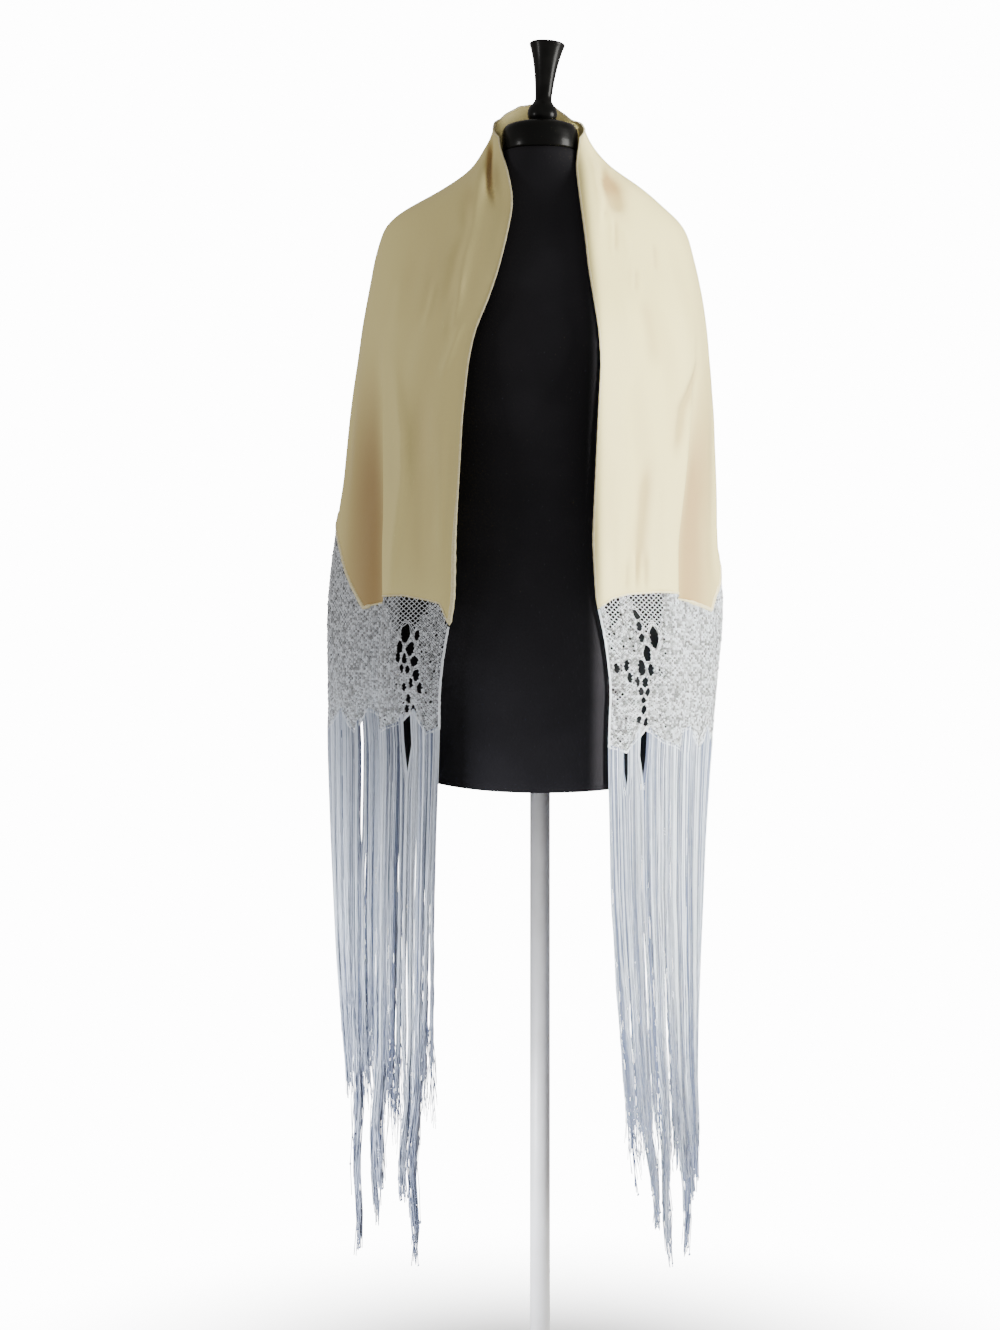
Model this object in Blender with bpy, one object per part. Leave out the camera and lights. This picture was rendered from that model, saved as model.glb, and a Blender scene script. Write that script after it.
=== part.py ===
"""A cream silk shawl with a knotted lace border and long fringe, worn on a limbless dress form.

Metres. +X is to the right as seen from the front, +Y to the back, +Z up.
The origin is the centre of the round foot's underside, on the floor.
"""

import math
from dataclasses import dataclass

import bpy
import numpy as np

LEFT = -1
RIGHT = 1

# Cloth, lace and fringe
CLOTH_WALL = 0.0016
LACE_WALL = 0.0018
SEAM_GAP = 0.0004
LEVEL_WALL_BELOW = 1.33
OVAL_POWER = 2.3
OVAL_STEPS = 120

# Dress form and stand
FORM_POWER = 2.2
FORM_SIDES = 32
FORM_CLEARANCE = 0.0011
FORM_FLOOR_SIDE = 0.764
FORM_FLOOR_DIP = 0.024
FORM_FLOOR_CURVE = 1.5
UNDER_CLOTH_FROM = 1.40
UNDER_CLOTH_TO = 1.51
POLE_RADIUS = 0.0125
POLE_SOCKET_RADIUS = 0.030
POLE_SOCKET_HEIGHT = 0.757
FOOT_RADIUS = 0.150
FOOT_HEIGHT = 0.015
FINIAL_LEAN = math.radians(4.0)

# Ovals that the cloth hangs on, from the floor up.
# Columns: height, half width on the left, half width on the right, depth to the front, depth to the back.
OVALS = np.array((
    (0.150, 0.2400, 0.1985, 0.092, 0.110),
    (0.230, 0.2380, 0.2000, 0.093, 0.110),
    (0.380, 0.2410, 0.1960, 0.095, 0.110),
    (0.530, 0.2530, 0.2000, 0.098, 0.112),
    (0.680, 0.2600, 0.2060, 0.101, 0.114),
    (0.790, 0.2640, 0.2135, 0.104, 0.116),
    (0.865, 0.2645, 0.2200, 0.106, 0.118),
    (0.940, 0.2655, 0.2270, 0.108, 0.119),
    (0.976, 0.2645, 0.2280, 0.109, 0.120),
    (1.014, 0.2610, 0.2245, 0.110, 0.120),
    (1.051, 0.2560, 0.2210, 0.111, 0.120),
    (1.089, 0.2510, 0.2200, 0.112, 0.119),
    (1.126, 0.2450, 0.2190, 0.113, 0.118),
    (1.201, 0.2360, 0.2160, 0.117, 0.115),
    (1.276, 0.2260, 0.2110, 0.122, 0.110),
    (1.314, 0.2210, 0.2075, 0.122, 0.107),
    (1.351, 0.2150, 0.2025, 0.110, 0.105),
    (1.389, 0.2090, 0.1950, 0.092, 0.102),
    (1.408, 0.2045, 0.1900, 0.084, 0.099),
    (1.426, 0.1990, 0.1860, 0.077, 0.096),
    (1.445, 0.1925, 0.1775, 0.069, 0.090),
    (1.464, 0.1675, 0.1550, 0.061, 0.083),
    (1.483, 0.1300, 0.1350, 0.053, 0.075),
    (1.501, 0.1010, 0.1090, 0.045, 0.067),
    (1.520, 0.0800, 0.0810, 0.030, 0.060),
    (1.539, 0.0700, 0.0670, 0.029, 0.058),
    (1.558, 0.0590, 0.0575, 0.029, 0.058),
    (1.605, 0.0530, 0.0440, 0.029, 0.062),
))

# The opening edge. Columns: height, distance from the middle on the left, and on the right.
OPENING = np.array((
    (0.150, 0.1340, 0.1110),
    (0.250, 0.1325, 0.1090),
    (0.432, 0.1275, 0.0930),
    (0.613, 0.1250, 0.0820),
    (0.793, 0.1200, 0.0775),
    (0.865, 0.1190, 0.0800),
    (0.901, 0.1155, 0.0770),
    (0.937, 0.1095, 0.0715),
    (0.973, 0.1035, 0.0635),
    (1.045, 0.1022, 0.0595),
    (1.116, 0.0975, 0.0630),
    (1.188, 0.0940, 0.0665),
    (1.260, 0.0871, 0.0705),
    (1.296, 0.0800, 0.0686),
    (1.335, 0.0645, 0.0632),
    (1.374, 0.0524, 0.0580),
    (1.413, 0.0427, 0.0548),
    (1.452, 0.0353, 0.0504),
    (1.472, 0.0353, 0.0482),
    (1.492, 0.0389, 0.0461),
    (1.515, 0.0438, 0.0445),
    (1.534, 0.0490, 0.0470),
    (1.550, 0.0515, 0.0500),
))

# The long fold beside each front panel. Columns: height, run of cloth from the opening edge to the
# fold on the left, and on the right, how far the panel stands out over the side cloth.
FOLDS = np.array((
    (0.150, 0.062, 0.068, 0.018),
    (0.800, 0.069, 0.086, 0.022),
    (0.980, 0.083, 0.097, 0.022),
    (1.068, 0.087, 0.104, 0.020),
    (1.217, 0.103, 0.121, 0.012),
    (1.307, 0.124, 0.134, 0.005),
    (1.380, 0.134, 0.138, 0.000),
    (1.445, 0.122, 0.114, 0.000),
    (1.483, 0.080, 0.076, 0.000),
    (1.501, 0.056, 0.055, 0.000),
    (1.539, 0.038, 0.036, 0.000),
    (1.605, 0.034, 0.033, 0.000),
))
FOLD_REACH = 0.024
FOLD_OVERLAP = 0.011
FOLD_FULL_DEPTH = 0.022
FOLD_REACH_SHARE = 0.35
PANEL_SHARE = 0.20
SIDE_SHARE = 0.34

# Soft drape folds that grow downwards. Columns: share of the way round, half width as a share,
# how far it stands out on the left, and on the right.
SOFT_FOLDS = (
    (0.43, 0.030, -0.004, -0.003),
    (0.60, 0.040, -0.007, -0.006),
    (0.70, 0.040, 0.010, 0.008),
    (0.80, 0.040, -0.006, -0.007),
    (0.90, 0.040, 0.008, 0.010),
)
SOFT_FOLD_TOP = 1.40
SOFT_FOLD_FULL = 1.12

# The collar's rolls near the neck. Columns: side, share, half share, height, half height, stand.
COLLAR_ROLLS = (
    (LEFT, 0.16, 0.09, 1.492, 0.028, 0.008),
    (LEFT, 0.06, 0.05, 1.478, 0.022, -0.002),
    (RIGHT, 0.22, 0.09, 1.500, 0.030, 0.006),
)

# Hem of the cloth. Columns: share, height on the left, height on the right.
HEM = np.array((
    (0.000, 0.9430, 0.9630),
    (0.050, 0.9690, 0.9750),
    (0.100, 0.9730, 0.9800),
    (0.200, 0.9790, 0.9830),
    (0.270, 0.9780, 0.9810),
    (0.340, 0.9680, 0.9730),
    (0.357, 0.9646, 0.9700),
    (0.409, 1.0130, 0.9625),
    (0.460, 1.0580, 0.9960),
    (0.500, 1.0860, 1.0320),
    (0.580, 1.1150, 1.0900),
    (0.680, 1.1250, 1.1180),
    (1.000, 1.1300, 1.1300),
))

# Collar's upper edge. Columns: share, height.
COLLAR = np.array((
    (0.000, 1.5500),
    (0.100, 1.5600),
    (0.200, 1.5710),
    (0.450, 1.5900),
    (0.700, 1.6030),
    (1.000, 1.6080),
))
# Heights of the cloth's sections below the collar, down to where they share out the rest.
UPPER_SECTIONS = (1.534, 1.518, 1.501, 1.483, 1.464, 1.445, 1.426, 1.405, 1.370, 1.325)
LOWER_SECTIONS = 7

# Lace columns: steps on the front panel, round the fold and on the side.
PANEL_STEPS = 6
TURN_STEPS = 6
SIDE_STEPS = 14
LACE_END_SHARE = 0.58
BACK_STEPS = 7
CLOTH_EVERY = 2
LEFT_CORNER_STEP = 13

# Lace lattice
LACE_ROWS = 11
# Repeats of the lattice. Columns: first step, step over the notch, last step.
LACE_REPEATS = ((2, 4, 8), (8, 12, 14), (14, 16, 20), (20, 22, 26))
LACE_POINT = {LEFT: 0.812, RIGHT: 0.790}
LACE_NOTCH_RISE = 0.028
LACE_END_RISE = 0.006
EYE_ROW = 2
PAIR_ROWS = (4, 5, 6, 7, 8, 9)
SIDE_GAP_ROWS = (3, 5, 7, 9)
GAP_WIDTH_SHARE = 0.33
GAP_HEIGHT_SHARE = 0.36
EYE_WIDTH_SHARE = 0.46
EYE_HEIGHT_SHARE = 0.72

# Fringe
STRIP_HEIGHT = 0.005
STRAND_CUTS = (0.0, 0.15, 0.35, 0.65, 0.85, 1.0)
STRAND_CELLS = (1, 3)
STRAND_SECTIONS = 3
FRINGE_SPLIT_STEP = 13
LONG_TAIL_EVERY = 7
TIP_WIDTH_SHARE = 0.45
SWAY = 0.0045
SWAY_AROUND = 9.0
SWAY_DOWN = 2.6
STRAY = 0.0005
TIP_SHORTER = -0.012
TIP_LONGER = 0.040
# Where the strands end. Columns: share, height on the left, height on the right, long tails.
TIPS = np.array((
    (0.00, 0.345, 0.300, 0.170),
    (0.15, 0.330, 0.330, 0.235),
    (0.34, 0.400, 0.300, 0.200),
    (0.58, 0.400, 0.290, 0.165),
))

# Dress form, from the hem up. Columns: height, half width, depth to the front, depth to the back.
BODY = np.array((
    (0.764, 0.1710, 0.096, 0.101),
    (0.800, 0.1770, 0.100, 0.105),
    (0.864, 0.1920, 0.104, 0.109),
    (0.915, 0.1990, 0.103, 0.108),
    (0.972, 0.1930, 0.098, 0.100),
    (1.020, 0.1680, 0.092, 0.090),
    (1.070, 0.1430, 0.088, 0.082),
    (1.120, 0.1350, 0.092, 0.082),
    (1.180, 0.1380, 0.100, 0.086),
    (1.260, 0.1520, 0.116, 0.092),
    (1.300, 0.1620, 0.118, 0.096),
    (1.340, 0.1750, 0.102, 0.096),
    (1.380, 0.1840, 0.085, 0.092),
    (1.410, 0.1870, 0.072, 0.088),
    (1.430, 0.1850, 0.062, 0.083),
    (1.445, 0.1800, 0.056, 0.077),
    (1.460, 0.1560, 0.050, 0.070),
    (1.480, 0.1050, 0.047, 0.060),
    (1.500, 0.0600, 0.0455, 0.051),
    (1.520, 0.0470, 0.0450, 0.047),
    (1.5345, 0.0460, 0.0450, 0.046),
))

# Turned pieces. Columns: radius, height.
NECK_CAP = (
    (0.0450, 1.5350), (0.0470, 1.5370), (0.0472, 1.5580), (0.0462, 1.5630),
    (0.0435, 1.5670), (0.0390, 1.5690), (0.0120, 1.5692),
)
FINIAL = (
    (0.0110, 0.0000), (0.0130, 0.0015), (0.0172, 0.0060), (0.0186, 0.0130), (0.0172, 0.0200),
    (0.0130, 0.0260), (0.0104, 0.0310), (0.0108, 0.0400), (0.0132, 0.0620), (0.0176, 0.0850),
    (0.0214, 0.0975), (0.0222, 0.1000), (0.0212, 0.1015),
)
FINIAL_SEAT = 1.5695
FINIAL_SHIFT = 0.002
FOOT = (
    (0.1400, 0.0000), (0.1480, 0.0012), (0.1500, 0.0050), (0.1480, 0.0095), (0.1400, 0.0125),
    (0.0300, 0.0145), (0.0200, FOOT_HEIGHT),
)

# Finishes. Columns: red, green, blue, roughness.
FINISHES = {
    "cloth": (0.72, 0.66, 0.48, 0.55),
    "lace": (0.66, 0.66, 0.66, 0.50),
    "fringe": (0.62, 0.66, 0.72, 0.40),
    "jersey": (0.010, 0.010, 0.012, 0.85),
    "lacquer": (0.012, 0.012, 0.012, 0.22),
    "white_paint": (0.84, 0.84, 0.85, 0.38),
}

rng = np.random.default_rng(7)


@dataclass
class Sheet:
    """A piece of cloth or lace before it gets its thickness."""

    points: np.ndarray
    faces: list
    directions: np.ndarray


def clear_scene():
    for old in list(bpy.data.objects):
        bpy.data.objects.remove(old, do_unlink=True)


def smooth_rise(value, low, high):
    """0 at low, 1 at high, with an easy start and end."""
    part = min(1.0, max(0.0, (value - low) / (high - low)))
    return part * part * (3.0 - 2.0 * part)


def column_for(side, left_column):
    return left_column if side == LEFT else left_column + 1


def half_oval(side, height):
    """Half an oval from the front middle to the back middle, with run and outward direction."""
    half_width = np.interp(height, OVALS[:, 0], OVALS[:, column_for(side, 1)])
    front = np.interp(height, OVALS[:, 0], OVALS[:, 3])
    back = np.interp(height, OVALS[:, 0], OVALS[:, 4])
    turn = np.linspace(-math.pi / 2, math.pi / 2, OVAL_STEPS)
    across = half_width * np.abs(np.cos(turn)) ** (2.0 / OVAL_POWER)
    depth = np.where(turn < 0, front, back)
    along = depth * np.sign(turn) * np.abs(np.sin(turn)) ** (2.0 / OVAL_POWER)
    run = np.concatenate(((0.0,), np.cumsum(np.hypot(np.diff(across), np.diff(along)))))
    step_x = np.gradient(across, run)
    step_y = np.gradient(along, run)
    return across, along, run, step_y, -step_x


def soft_stand(side, share, height):
    """How far the soft folds and the collar's rolls stand out from the oval."""
    grown = smooth_rise(-height, -SOFT_FOLD_TOP, -SOFT_FOLD_FULL)
    stand = 0.0
    for row in SOFT_FOLDS:
        offset = (share - row[0]) / row[1]
        stand += grown * row[column_for(side, 2)] * math.exp(-offset * offset)
    for roll_side, centre, half, level, half_level, size in COLLAR_ROLLS:
        if roll_side == side:
            away = ((share - centre) / half) ** 2 + ((height - level) / half_level) ** 2
            stand += size * math.exp(-away)
    return stand


def drape(side, share, height):
    """A point of the hanging surface; share is 0 at the opening edge and 1 at the back middle."""
    across, along, run, out_x, out_y = half_oval(side, height)
    front_half = OVAL_STEPS // 2
    opening = np.interp(height, OPENING[:, 0], OPENING[:, column_for(side, 1)])
    edge = np.interp(opening, across[:front_half], run[:front_half])
    fold = edge + np.interp(height, FOLDS[:, 0], FOLDS[:, column_for(side, 1)])
    stand_out = np.interp(height, FOLDS[:, 0], FOLDS[:, 3])
    fold_part = stand_out / FOLD_FULL_DEPTH
    reach = min(FOLD_REACH, FOLD_REACH_SHARE * (fold - edge))
    if share < PANEL_SHARE:
        place = edge + (fold - reach - edge) * share / PANEL_SHARE
        stand = stand_out
    elif share < SIDE_SHARE:
        turn = 2.0 * (share - PANEL_SHARE) / (SIDE_SHARE - PANEL_SHARE) - 1.0
        place = fold + reach * turn - FOLD_OVERLAP * fold_part * math.sin(math.pi * turn)
        stand = stand_out * (0.5 - 0.5 * math.sin(0.5 * math.pi * turn))
    else:
        rest = (share - SIDE_SHARE) / (1.0 - SIDE_SHARE)
        place = fold + reach + (run[-1] - fold - reach) * rest
        stand = 0.0
    stand += soft_stand(side, share, height)
    x = np.interp(place, run, across) + stand * np.interp(place, run, out_x)
    y = np.interp(place, run, along) + stand * np.interp(place, run, out_y)
    return np.array((side * x, y, height))


def lace_shares():
    """Shares of the lace columns, from the opening edge to the lace's far end."""
    panel = np.linspace(0.0, PANEL_SHARE, PANEL_STEPS + 1)
    turn = np.linspace(PANEL_SHARE, SIDE_SHARE, TURN_STEPS + 1)[1:]
    side = np.linspace(SIDE_SHARE, LACE_END_SHARE, SIDE_STEPS + 1)[1:]
    return np.concatenate((panel, turn, side))


def cloth_steps():
    """The lace columns that the cloth shares: every second one, and all of them round the fold."""
    last = PANEL_STEPS + TURN_STEPS + SIDE_STEPS
    kept = set(range(0, last + 1, CLOTH_EVERY))
    kept |= set(range(PANEL_STEPS, PANEL_STEPS + TURN_STEPS + 1))
    kept.add(LEFT_CORNER_STEP)
    return sorted(kept)


def cloth_shares():
    shares = lace_shares()[cloth_steps()]
    back = np.linspace(LACE_END_SHARE, 1.0, BACK_STEPS + 1)[1:]
    return np.concatenate((shares, back))


def hem_height(side, share):
    return np.interp(share, HEM[:, 0], HEM[:, column_for(side, 1)])


def cloth_column(side, share):
    """Points of the cloth from the collar's edge down to the hem."""
    top = np.interp(share, COLLAR[:, 0], COLLAR[:, 1])
    hem = hem_height(side, share)
    heights = [top]
    heights += list(UPPER_SECTIONS)
    lowest = UPPER_SECTIONS[-1]
    heights += [lowest + (hem - lowest) * (k + 1) / LOWER_SECTIONS for k in range(LOWER_SECTIONS)]
    return [drape(side, share, height) for height in heights]


def corner_directions(points, faces):
    """Outward direction at each point: the mean of the faces around it, level where it hangs."""
    total = np.zeros_like(points)
    for face in faces:
        ring = points[list(face)]
        area = np.zeros(3)
        for k in range(1, len(face) - 1):
            area += np.cross(ring[k] - ring[0], ring[k + 1] - ring[0])
        for index in face:
            total[index] += area
    total[points[:, 2] < LEVEL_WALL_BELOW, 2] = 0.0
    return total / np.linalg.norm(total, axis=1)[:, None]


def material_of(finish):
    red, green, blue, roughness = FINISHES[finish]
    material = bpy.data.materials.new(finish)
    material.use_nodes = True
    shader = material.node_tree.nodes["Principled BSDF"]
    shader.inputs["Base Color"].default_value = (red, green, blue, 1.0)
    shader.inputs["Roughness"].default_value = roughness
    shader.inputs["Metallic"].default_value = 0.0
    material.diffuse_color = (red, green, blue, 1.0)
    return material


def add_object(name, points, faces, finish):
    mesh = bpy.data.meshes.new(name)
    mesh.from_pydata([tuple(map(float, point)) for point in points], [], faces)
    mesh.validate()
    mesh.shade_smooth()
    mesh.materials.append(material_of(finish))
    made = bpy.data.objects.new(name, mesh)
    bpy.context.scene.collection.objects.link(made)
    return made


def add_wall(name, sheet, thickness, finish):
    """A closed wall: the sheet moved out and in by half its thickness, joined along its edges."""
    points, faces = sheet.points, sheet.faces
    out = sheet.directions * thickness / 2.0
    count = len(points)
    shell = list(faces)
    shell += [tuple(index + count for index in reversed(face)) for face in faces]
    directed = {(face[k], face[(k + 1) % len(face)]) for face in faces for k in range(len(face))}
    for start, end in sorted(directed):
        if (end, start) not in directed:
            shell.append((end, start, start + count, end + count))
    return add_object(name, np.concatenate((points + out, points - out)), shell, finish)


def grid_faces(columns, rows):
    faces = []
    for i in range(columns - 1):
        for j in range(rows - 1):
            corner = i * rows + j
            faces.append((corner, corner + rows, corner + rows + 1, corner + 1))
    return faces


def cloth_sheet():
    shares = cloth_shares()
    columns = [cloth_column(LEFT, share) for share in shares]
    columns += [cloth_column(RIGHT, share) for share in shares[-2::-1]]
    points = np.array([point for column in columns for point in column])
    faces = grid_faces(len(columns), len(columns[0]))
    return Sheet(points, faces, corner_directions(points, faces))


def hem_of(cloth, side):
    """The hem above each lace column: places and wall directions, straight between cloth columns."""
    columns = 2 * len(cloth_shares()) - 1
    rows = len(cloth.points) // columns
    order = range(columns) if side == LEFT else range(columns - 1, -1, -1)
    kept = cloth_steps()
    feet = [column * rows + rows - 1 for column in order][:len(kept)]
    shares = lace_shares()
    places = np.empty((len(shares), 3))
    directions = np.empty((len(shares), 3))
    for axis in range(3):
        places[:, axis] = np.interp(shares, shares[kept], cloth.points[feet, axis])
        directions[:, axis] = np.interp(shares, shares[kept], cloth.directions[feet, axis])
    return places, directions


def dropped(points, gap):
    """An edge moved down, so that it is the gap away measured square to its slope."""
    moved = []
    for k, point in enumerate(points):
        before = points[max(0, k - 1)]
        after = points[min(len(points) - 1, k + 1)]
        level = math.hypot(after[0] - before[0], after[1] - before[1])
        slopes = [abs(after[2] - before[2]) / level]
        for other in (before, after):
            if other is not point:
                width = math.hypot(other[0] - point[0], other[1] - point[1])
                slopes.append(abs(other[2] - point[2]) / width)
        moved.append(point - np.array((0.0, 0.0, gap * math.hypot(1.0, max(slopes)))))
    return moved


def lace_foot_height(side, step):
    """The zigzag lower edge: a point at each end of a repeat and a notch under its large openings."""
    steps, rises = [0], [LACE_END_RISE]
    for first, notch, last in LACE_REPEATS:
        steps += [first, notch]
        rises += [0.0, LACE_NOTCH_RISE]
    return LACE_POINT[side] + np.interp(step, steps + [last], rises + [0.0])


def lace_columns(side, hem):
    """Points of the lace from the hem to the zigzag, column by column."""
    shares = lace_shares()
    top = dropped(hem, SEAM_GAP)
    columns = []
    for step, share in enumerate(shares):
        start = top[step][2]
        end = lace_foot_height(side, step)
        shift = top[step] - drape(side, share, start)
        column = []
        for row in range(LACE_ROWS + 1):
            part = row / LACE_ROWS
            point = drape(side, share, start + (end - start) * part)
            column.append(point + shift * (1.0 - part) ** 2)
        columns.append(column)
    return columns


def lace_gap_kind(step, row):
    """What one lattice cell holds: nothing, a small opening, or a quarter of a large one."""
    for first, notch, last in LACE_REPEATS:
        if step in (notch - 1, notch):
            if row in (EYE_ROW, EYE_ROW + 1):
                return "eye"
            if row in PAIR_ROWS:
                return "gap"
        far_side = last - 2 if last - notch > notch - first else first + 1
        if step == far_side and row in SIDE_GAP_ROWS:
            return "gap"
    return "solid"


def inside_cell(corners, u, v):
    """A point inside a cell; corners run upper near, upper far, lower far, lower near."""
    upper = corners[0] + (corners[1] - corners[0]) * u
    lower = corners[3] + (corners[2] - corners[3]) * u
    return upper + (lower - upper) * v


def add_ring(points, faces, outer, inner):
    """Faces between a ring of corners and the opening inside it."""
    first = len(points)
    points.extend(inner)
    count = len(outer)
    spread = count // len(inner)
    for k in range(count):
        near = first + (k // spread) % len(inner)
        far = first + ((k + 1) // spread) % len(inner)
        if near == far:
            faces.append((outer[k], outer[(k + 1) % count], near))
        else:
            faces.append((outer[k], outer[(k + 1) % count], far, near))


def diamond_gap(points, faces, corners):
    """A cell with a diamond opening: two triangles for each side of the cell."""
    cell = [points[index] for index in corners]
    u, v = GAP_WIDTH_SHARE, GAP_HEIGHT_SHARE
    tips = ((0.5, 0.5 - v), (0.5 + u, 0.5), (0.5, 0.5 + v), (0.5 - u, 0.5))
    first = len(points)
    points.extend(inside_cell(cell, *tip) for tip in tips)
    for k in range(4):
        faces.append((corners[k], corners[(k + 1) % 4], first + k))
        faces.append((corners[(k + 1) % 4], first + (k + 1) % 4, first + k))


def eye_gap(points, faces, grid, step, row):
    """Four cells joined round one tall oval opening."""
    ring = (
        (step, row), (step + 1, row), (step + 2, row), (step + 2, row + 1),
        (step + 2, row + 2), (step + 1, row + 2), (step, row + 2), (step, row + 1),
    )
    middle = points[grid[step + 1][row + 1]]
    inner = []
    for i, j in ring:
        away = points[grid[i][j]] - middle
        corner = (i - step) % 2 == 0 and (j - row) % 2 == 0
        size = EYE_WIDTH_SHARE if corner or j == row + 1 else EYE_HEIGHT_SHARE
        inner.append(middle + away * size)
    add_ring(points, faces, [grid[i][j] for i, j in ring], inner)


def lace_sheet(side, cloth):
    hem, hem_directions = hem_of(cloth, side)
    columns = lace_columns(side, hem)
    points = []
    grid = []
    for column in columns:
        grid.append(list(range(len(points), len(points) + len(column))))
        points.extend(column)
    faces = []
    for step in range(len(columns) - 1):
        for row in range(LACE_ROWS):
            kind = lace_gap_kind(step, row)
            corners = (
                grid[step][row], grid[step + 1][row], grid[step + 1][row + 1], grid[step][row + 1]
            )
            if kind == "gap":
                diamond_gap(points, faces, corners)
            elif kind == "solid":
                faces.append(corners)
            elif row == EYE_ROW and lace_gap_kind(step - 1, row) != "eye":
                eye_gap(points, faces, grid, step, row)
    if side == RIGHT:
        faces = [tuple(reversed(face)) for face in faces]
    used = sorted({index for face in faces for index in face})
    place = {index: k for k, index in enumerate(used)}
    points = np.array([points[index] for index in used])
    faces = [tuple(place[index] for index in face) for face in faces]
    directions = corner_directions(points, faces)
    directions[[place[rows[0]] for rows in grid]] = hem_directions
    return Sheet(points, faces, directions), [place[rows[-1]] for rows in grid]


def strand_tip(side, share, count):
    """Height where one strand ends; every few strands a tail hangs longer."""
    usual = np.interp(share, TIPS[:, 0], TIPS[:, column_for(side, 1)])
    if count % LONG_TAIL_EVERY == LONG_TAIL_EVERY // 2:
        usual = np.interp(share, TIPS[:, 0], TIPS[:, 3])
    return usual + rng.uniform(TIP_SHORTER, TIP_LONGER)


def drift(side, share, start, end):
    """How far the drape moves between two heights, eased across the long fold."""
    if PANEL_SHARE < share < SIDE_SHARE:
        part = (share - PANEL_SHARE) / (SIDE_SHARE - PANEL_SHARE)
        near = drift(side, PANEL_SHARE, start, end)
        return near + (drift(side, SIDE_SHARE, start, end) - near) * part
    return drape(side, share, end) - drape(side, share, start)


def strand_path(side, share, root, tip, count):
    """Middle line of a strand below its root, drifting with the drape and swaying a little."""
    stray = rng.uniform(-STRAY, STRAY, 2)
    path = []
    for k in range(1, STRAND_SECTIONS + 1):
        part = k / STRAND_SECTIONS
        height = root[2] + (tip - root[2]) * part
        moved = drift(side, share, root[2], height)
        sway = SWAY * part * math.sin(SWAY_AROUND * share + SWAY_DOWN * part)
        offset = np.array((moved[0] + sway + stray[0] * part, moved[1] + stray[1] * part, 0.0))
        path.append(np.array((root[0], root[1], height)) + offset)
    return path


def fringe_sheet(side, lace, feet, first_step, last_step):
    """One row of strands on a narrow strip just below the lace."""
    shares = lace_shares()
    upper = dropped(lace.points[feet], SEAM_GAP)
    turned = lace.directions[feet]
    edge, edge_directions, edge_shares, is_strand = [], [], [], []
    for step in range(first_step, last_step):
        for k, cut in enumerate(STRAND_CUTS[:-1]):
            edge.append(upper[step] + (upper[step + 1] - upper[step]) * cut)
            edge_directions.append(turned[step] + (turned[step + 1] - turned[step]) * cut)
            edge_shares.append(shares[step] + (shares[step + 1] - shares[step]) * cut)
            is_strand.append(k in STRAND_CELLS)
    if last_step == FRINGE_SPLIT_STEP:
        is_strand.pop()
    else:
        edge.append(upper[last_step])
        edge_directions.append(turned[last_step])
        edge_shares.append(shares[last_step])
    down = np.array((0.0, 0.0, STRIP_HEIGHT))
    points, faces, directions = [], [], []
    for place, direction in zip(edge, edge_directions):
        points.extend((place, place - down))
        directions.extend((direction, direction))
    for k, strand in enumerate(is_strand):
        faces.append((2 * k, 2 * k + 2, 2 * k + 3, 2 * k + 1))
        if not strand:
            continue
        left_root, right_root = points[2 * k + 1], points[2 * k + 3]
        root = (left_root + right_root) / 2.0
        half = (right_root - left_root) / 2.0
        share = (edge_shares[k] + edge_shares[k + 1]) / 2.0
        tip = strand_tip(side, share, k // 2)
        last_pair = (2 * k + 1, 2 * k + 3)
        for part, middle in enumerate(strand_path(side, share, root, tip, k)):
            width = TIP_WIDTH_SHARE if part == STRAND_SECTIONS - 1 else 1.0
            level_half = half * np.array((width, width, 0.0))
            new_pair = (len(points), len(points) + 1)
            points.extend((middle - level_half, middle + level_half))
            directions.extend(directions[index] for index in last_pair)
            faces.append((last_pair[0], last_pair[1], new_pair[1], new_pair[0]))
            last_pair = new_pair
    if side == RIGHT:
        faces = [tuple(reversed(face)) for face in faces]
    return Sheet(np.array(points), faces, np.array(directions))


def body_point(height, turn, half_width, front, back):
    across = half_width * np.sign(math.cos(turn)) * abs(math.cos(turn)) ** (2.0 / FORM_POWER)
    depth = front if math.sin(turn) < 0 else back
    along = depth * np.sign(math.sin(turn)) * abs(math.sin(turn)) ** (2.0 / FORM_POWER)
    return np.array((across, along, height))


def kept_under_cloth(point):
    """The body drawn in where it would press into the cloth that lies on it."""
    side = LEFT if point[0] < 0 else RIGHT
    across, along, _, _, _ = half_oval(side, point[2])
    angle = math.atan2(point[1], abs(point[0]))
    cloth_angles = np.arctan2(along, across)
    cloth_reach = np.interp(angle, cloth_angles, np.hypot(across, along))
    reach = math.hypot(point[0], point[1])
    limit = cloth_reach - CLOTH_WALL / 2.0 - FORM_CLEARANCE
    scale = min(1.0, limit / reach)
    return np.array((point[0] * scale, point[1] * scale, point[2]))


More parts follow.
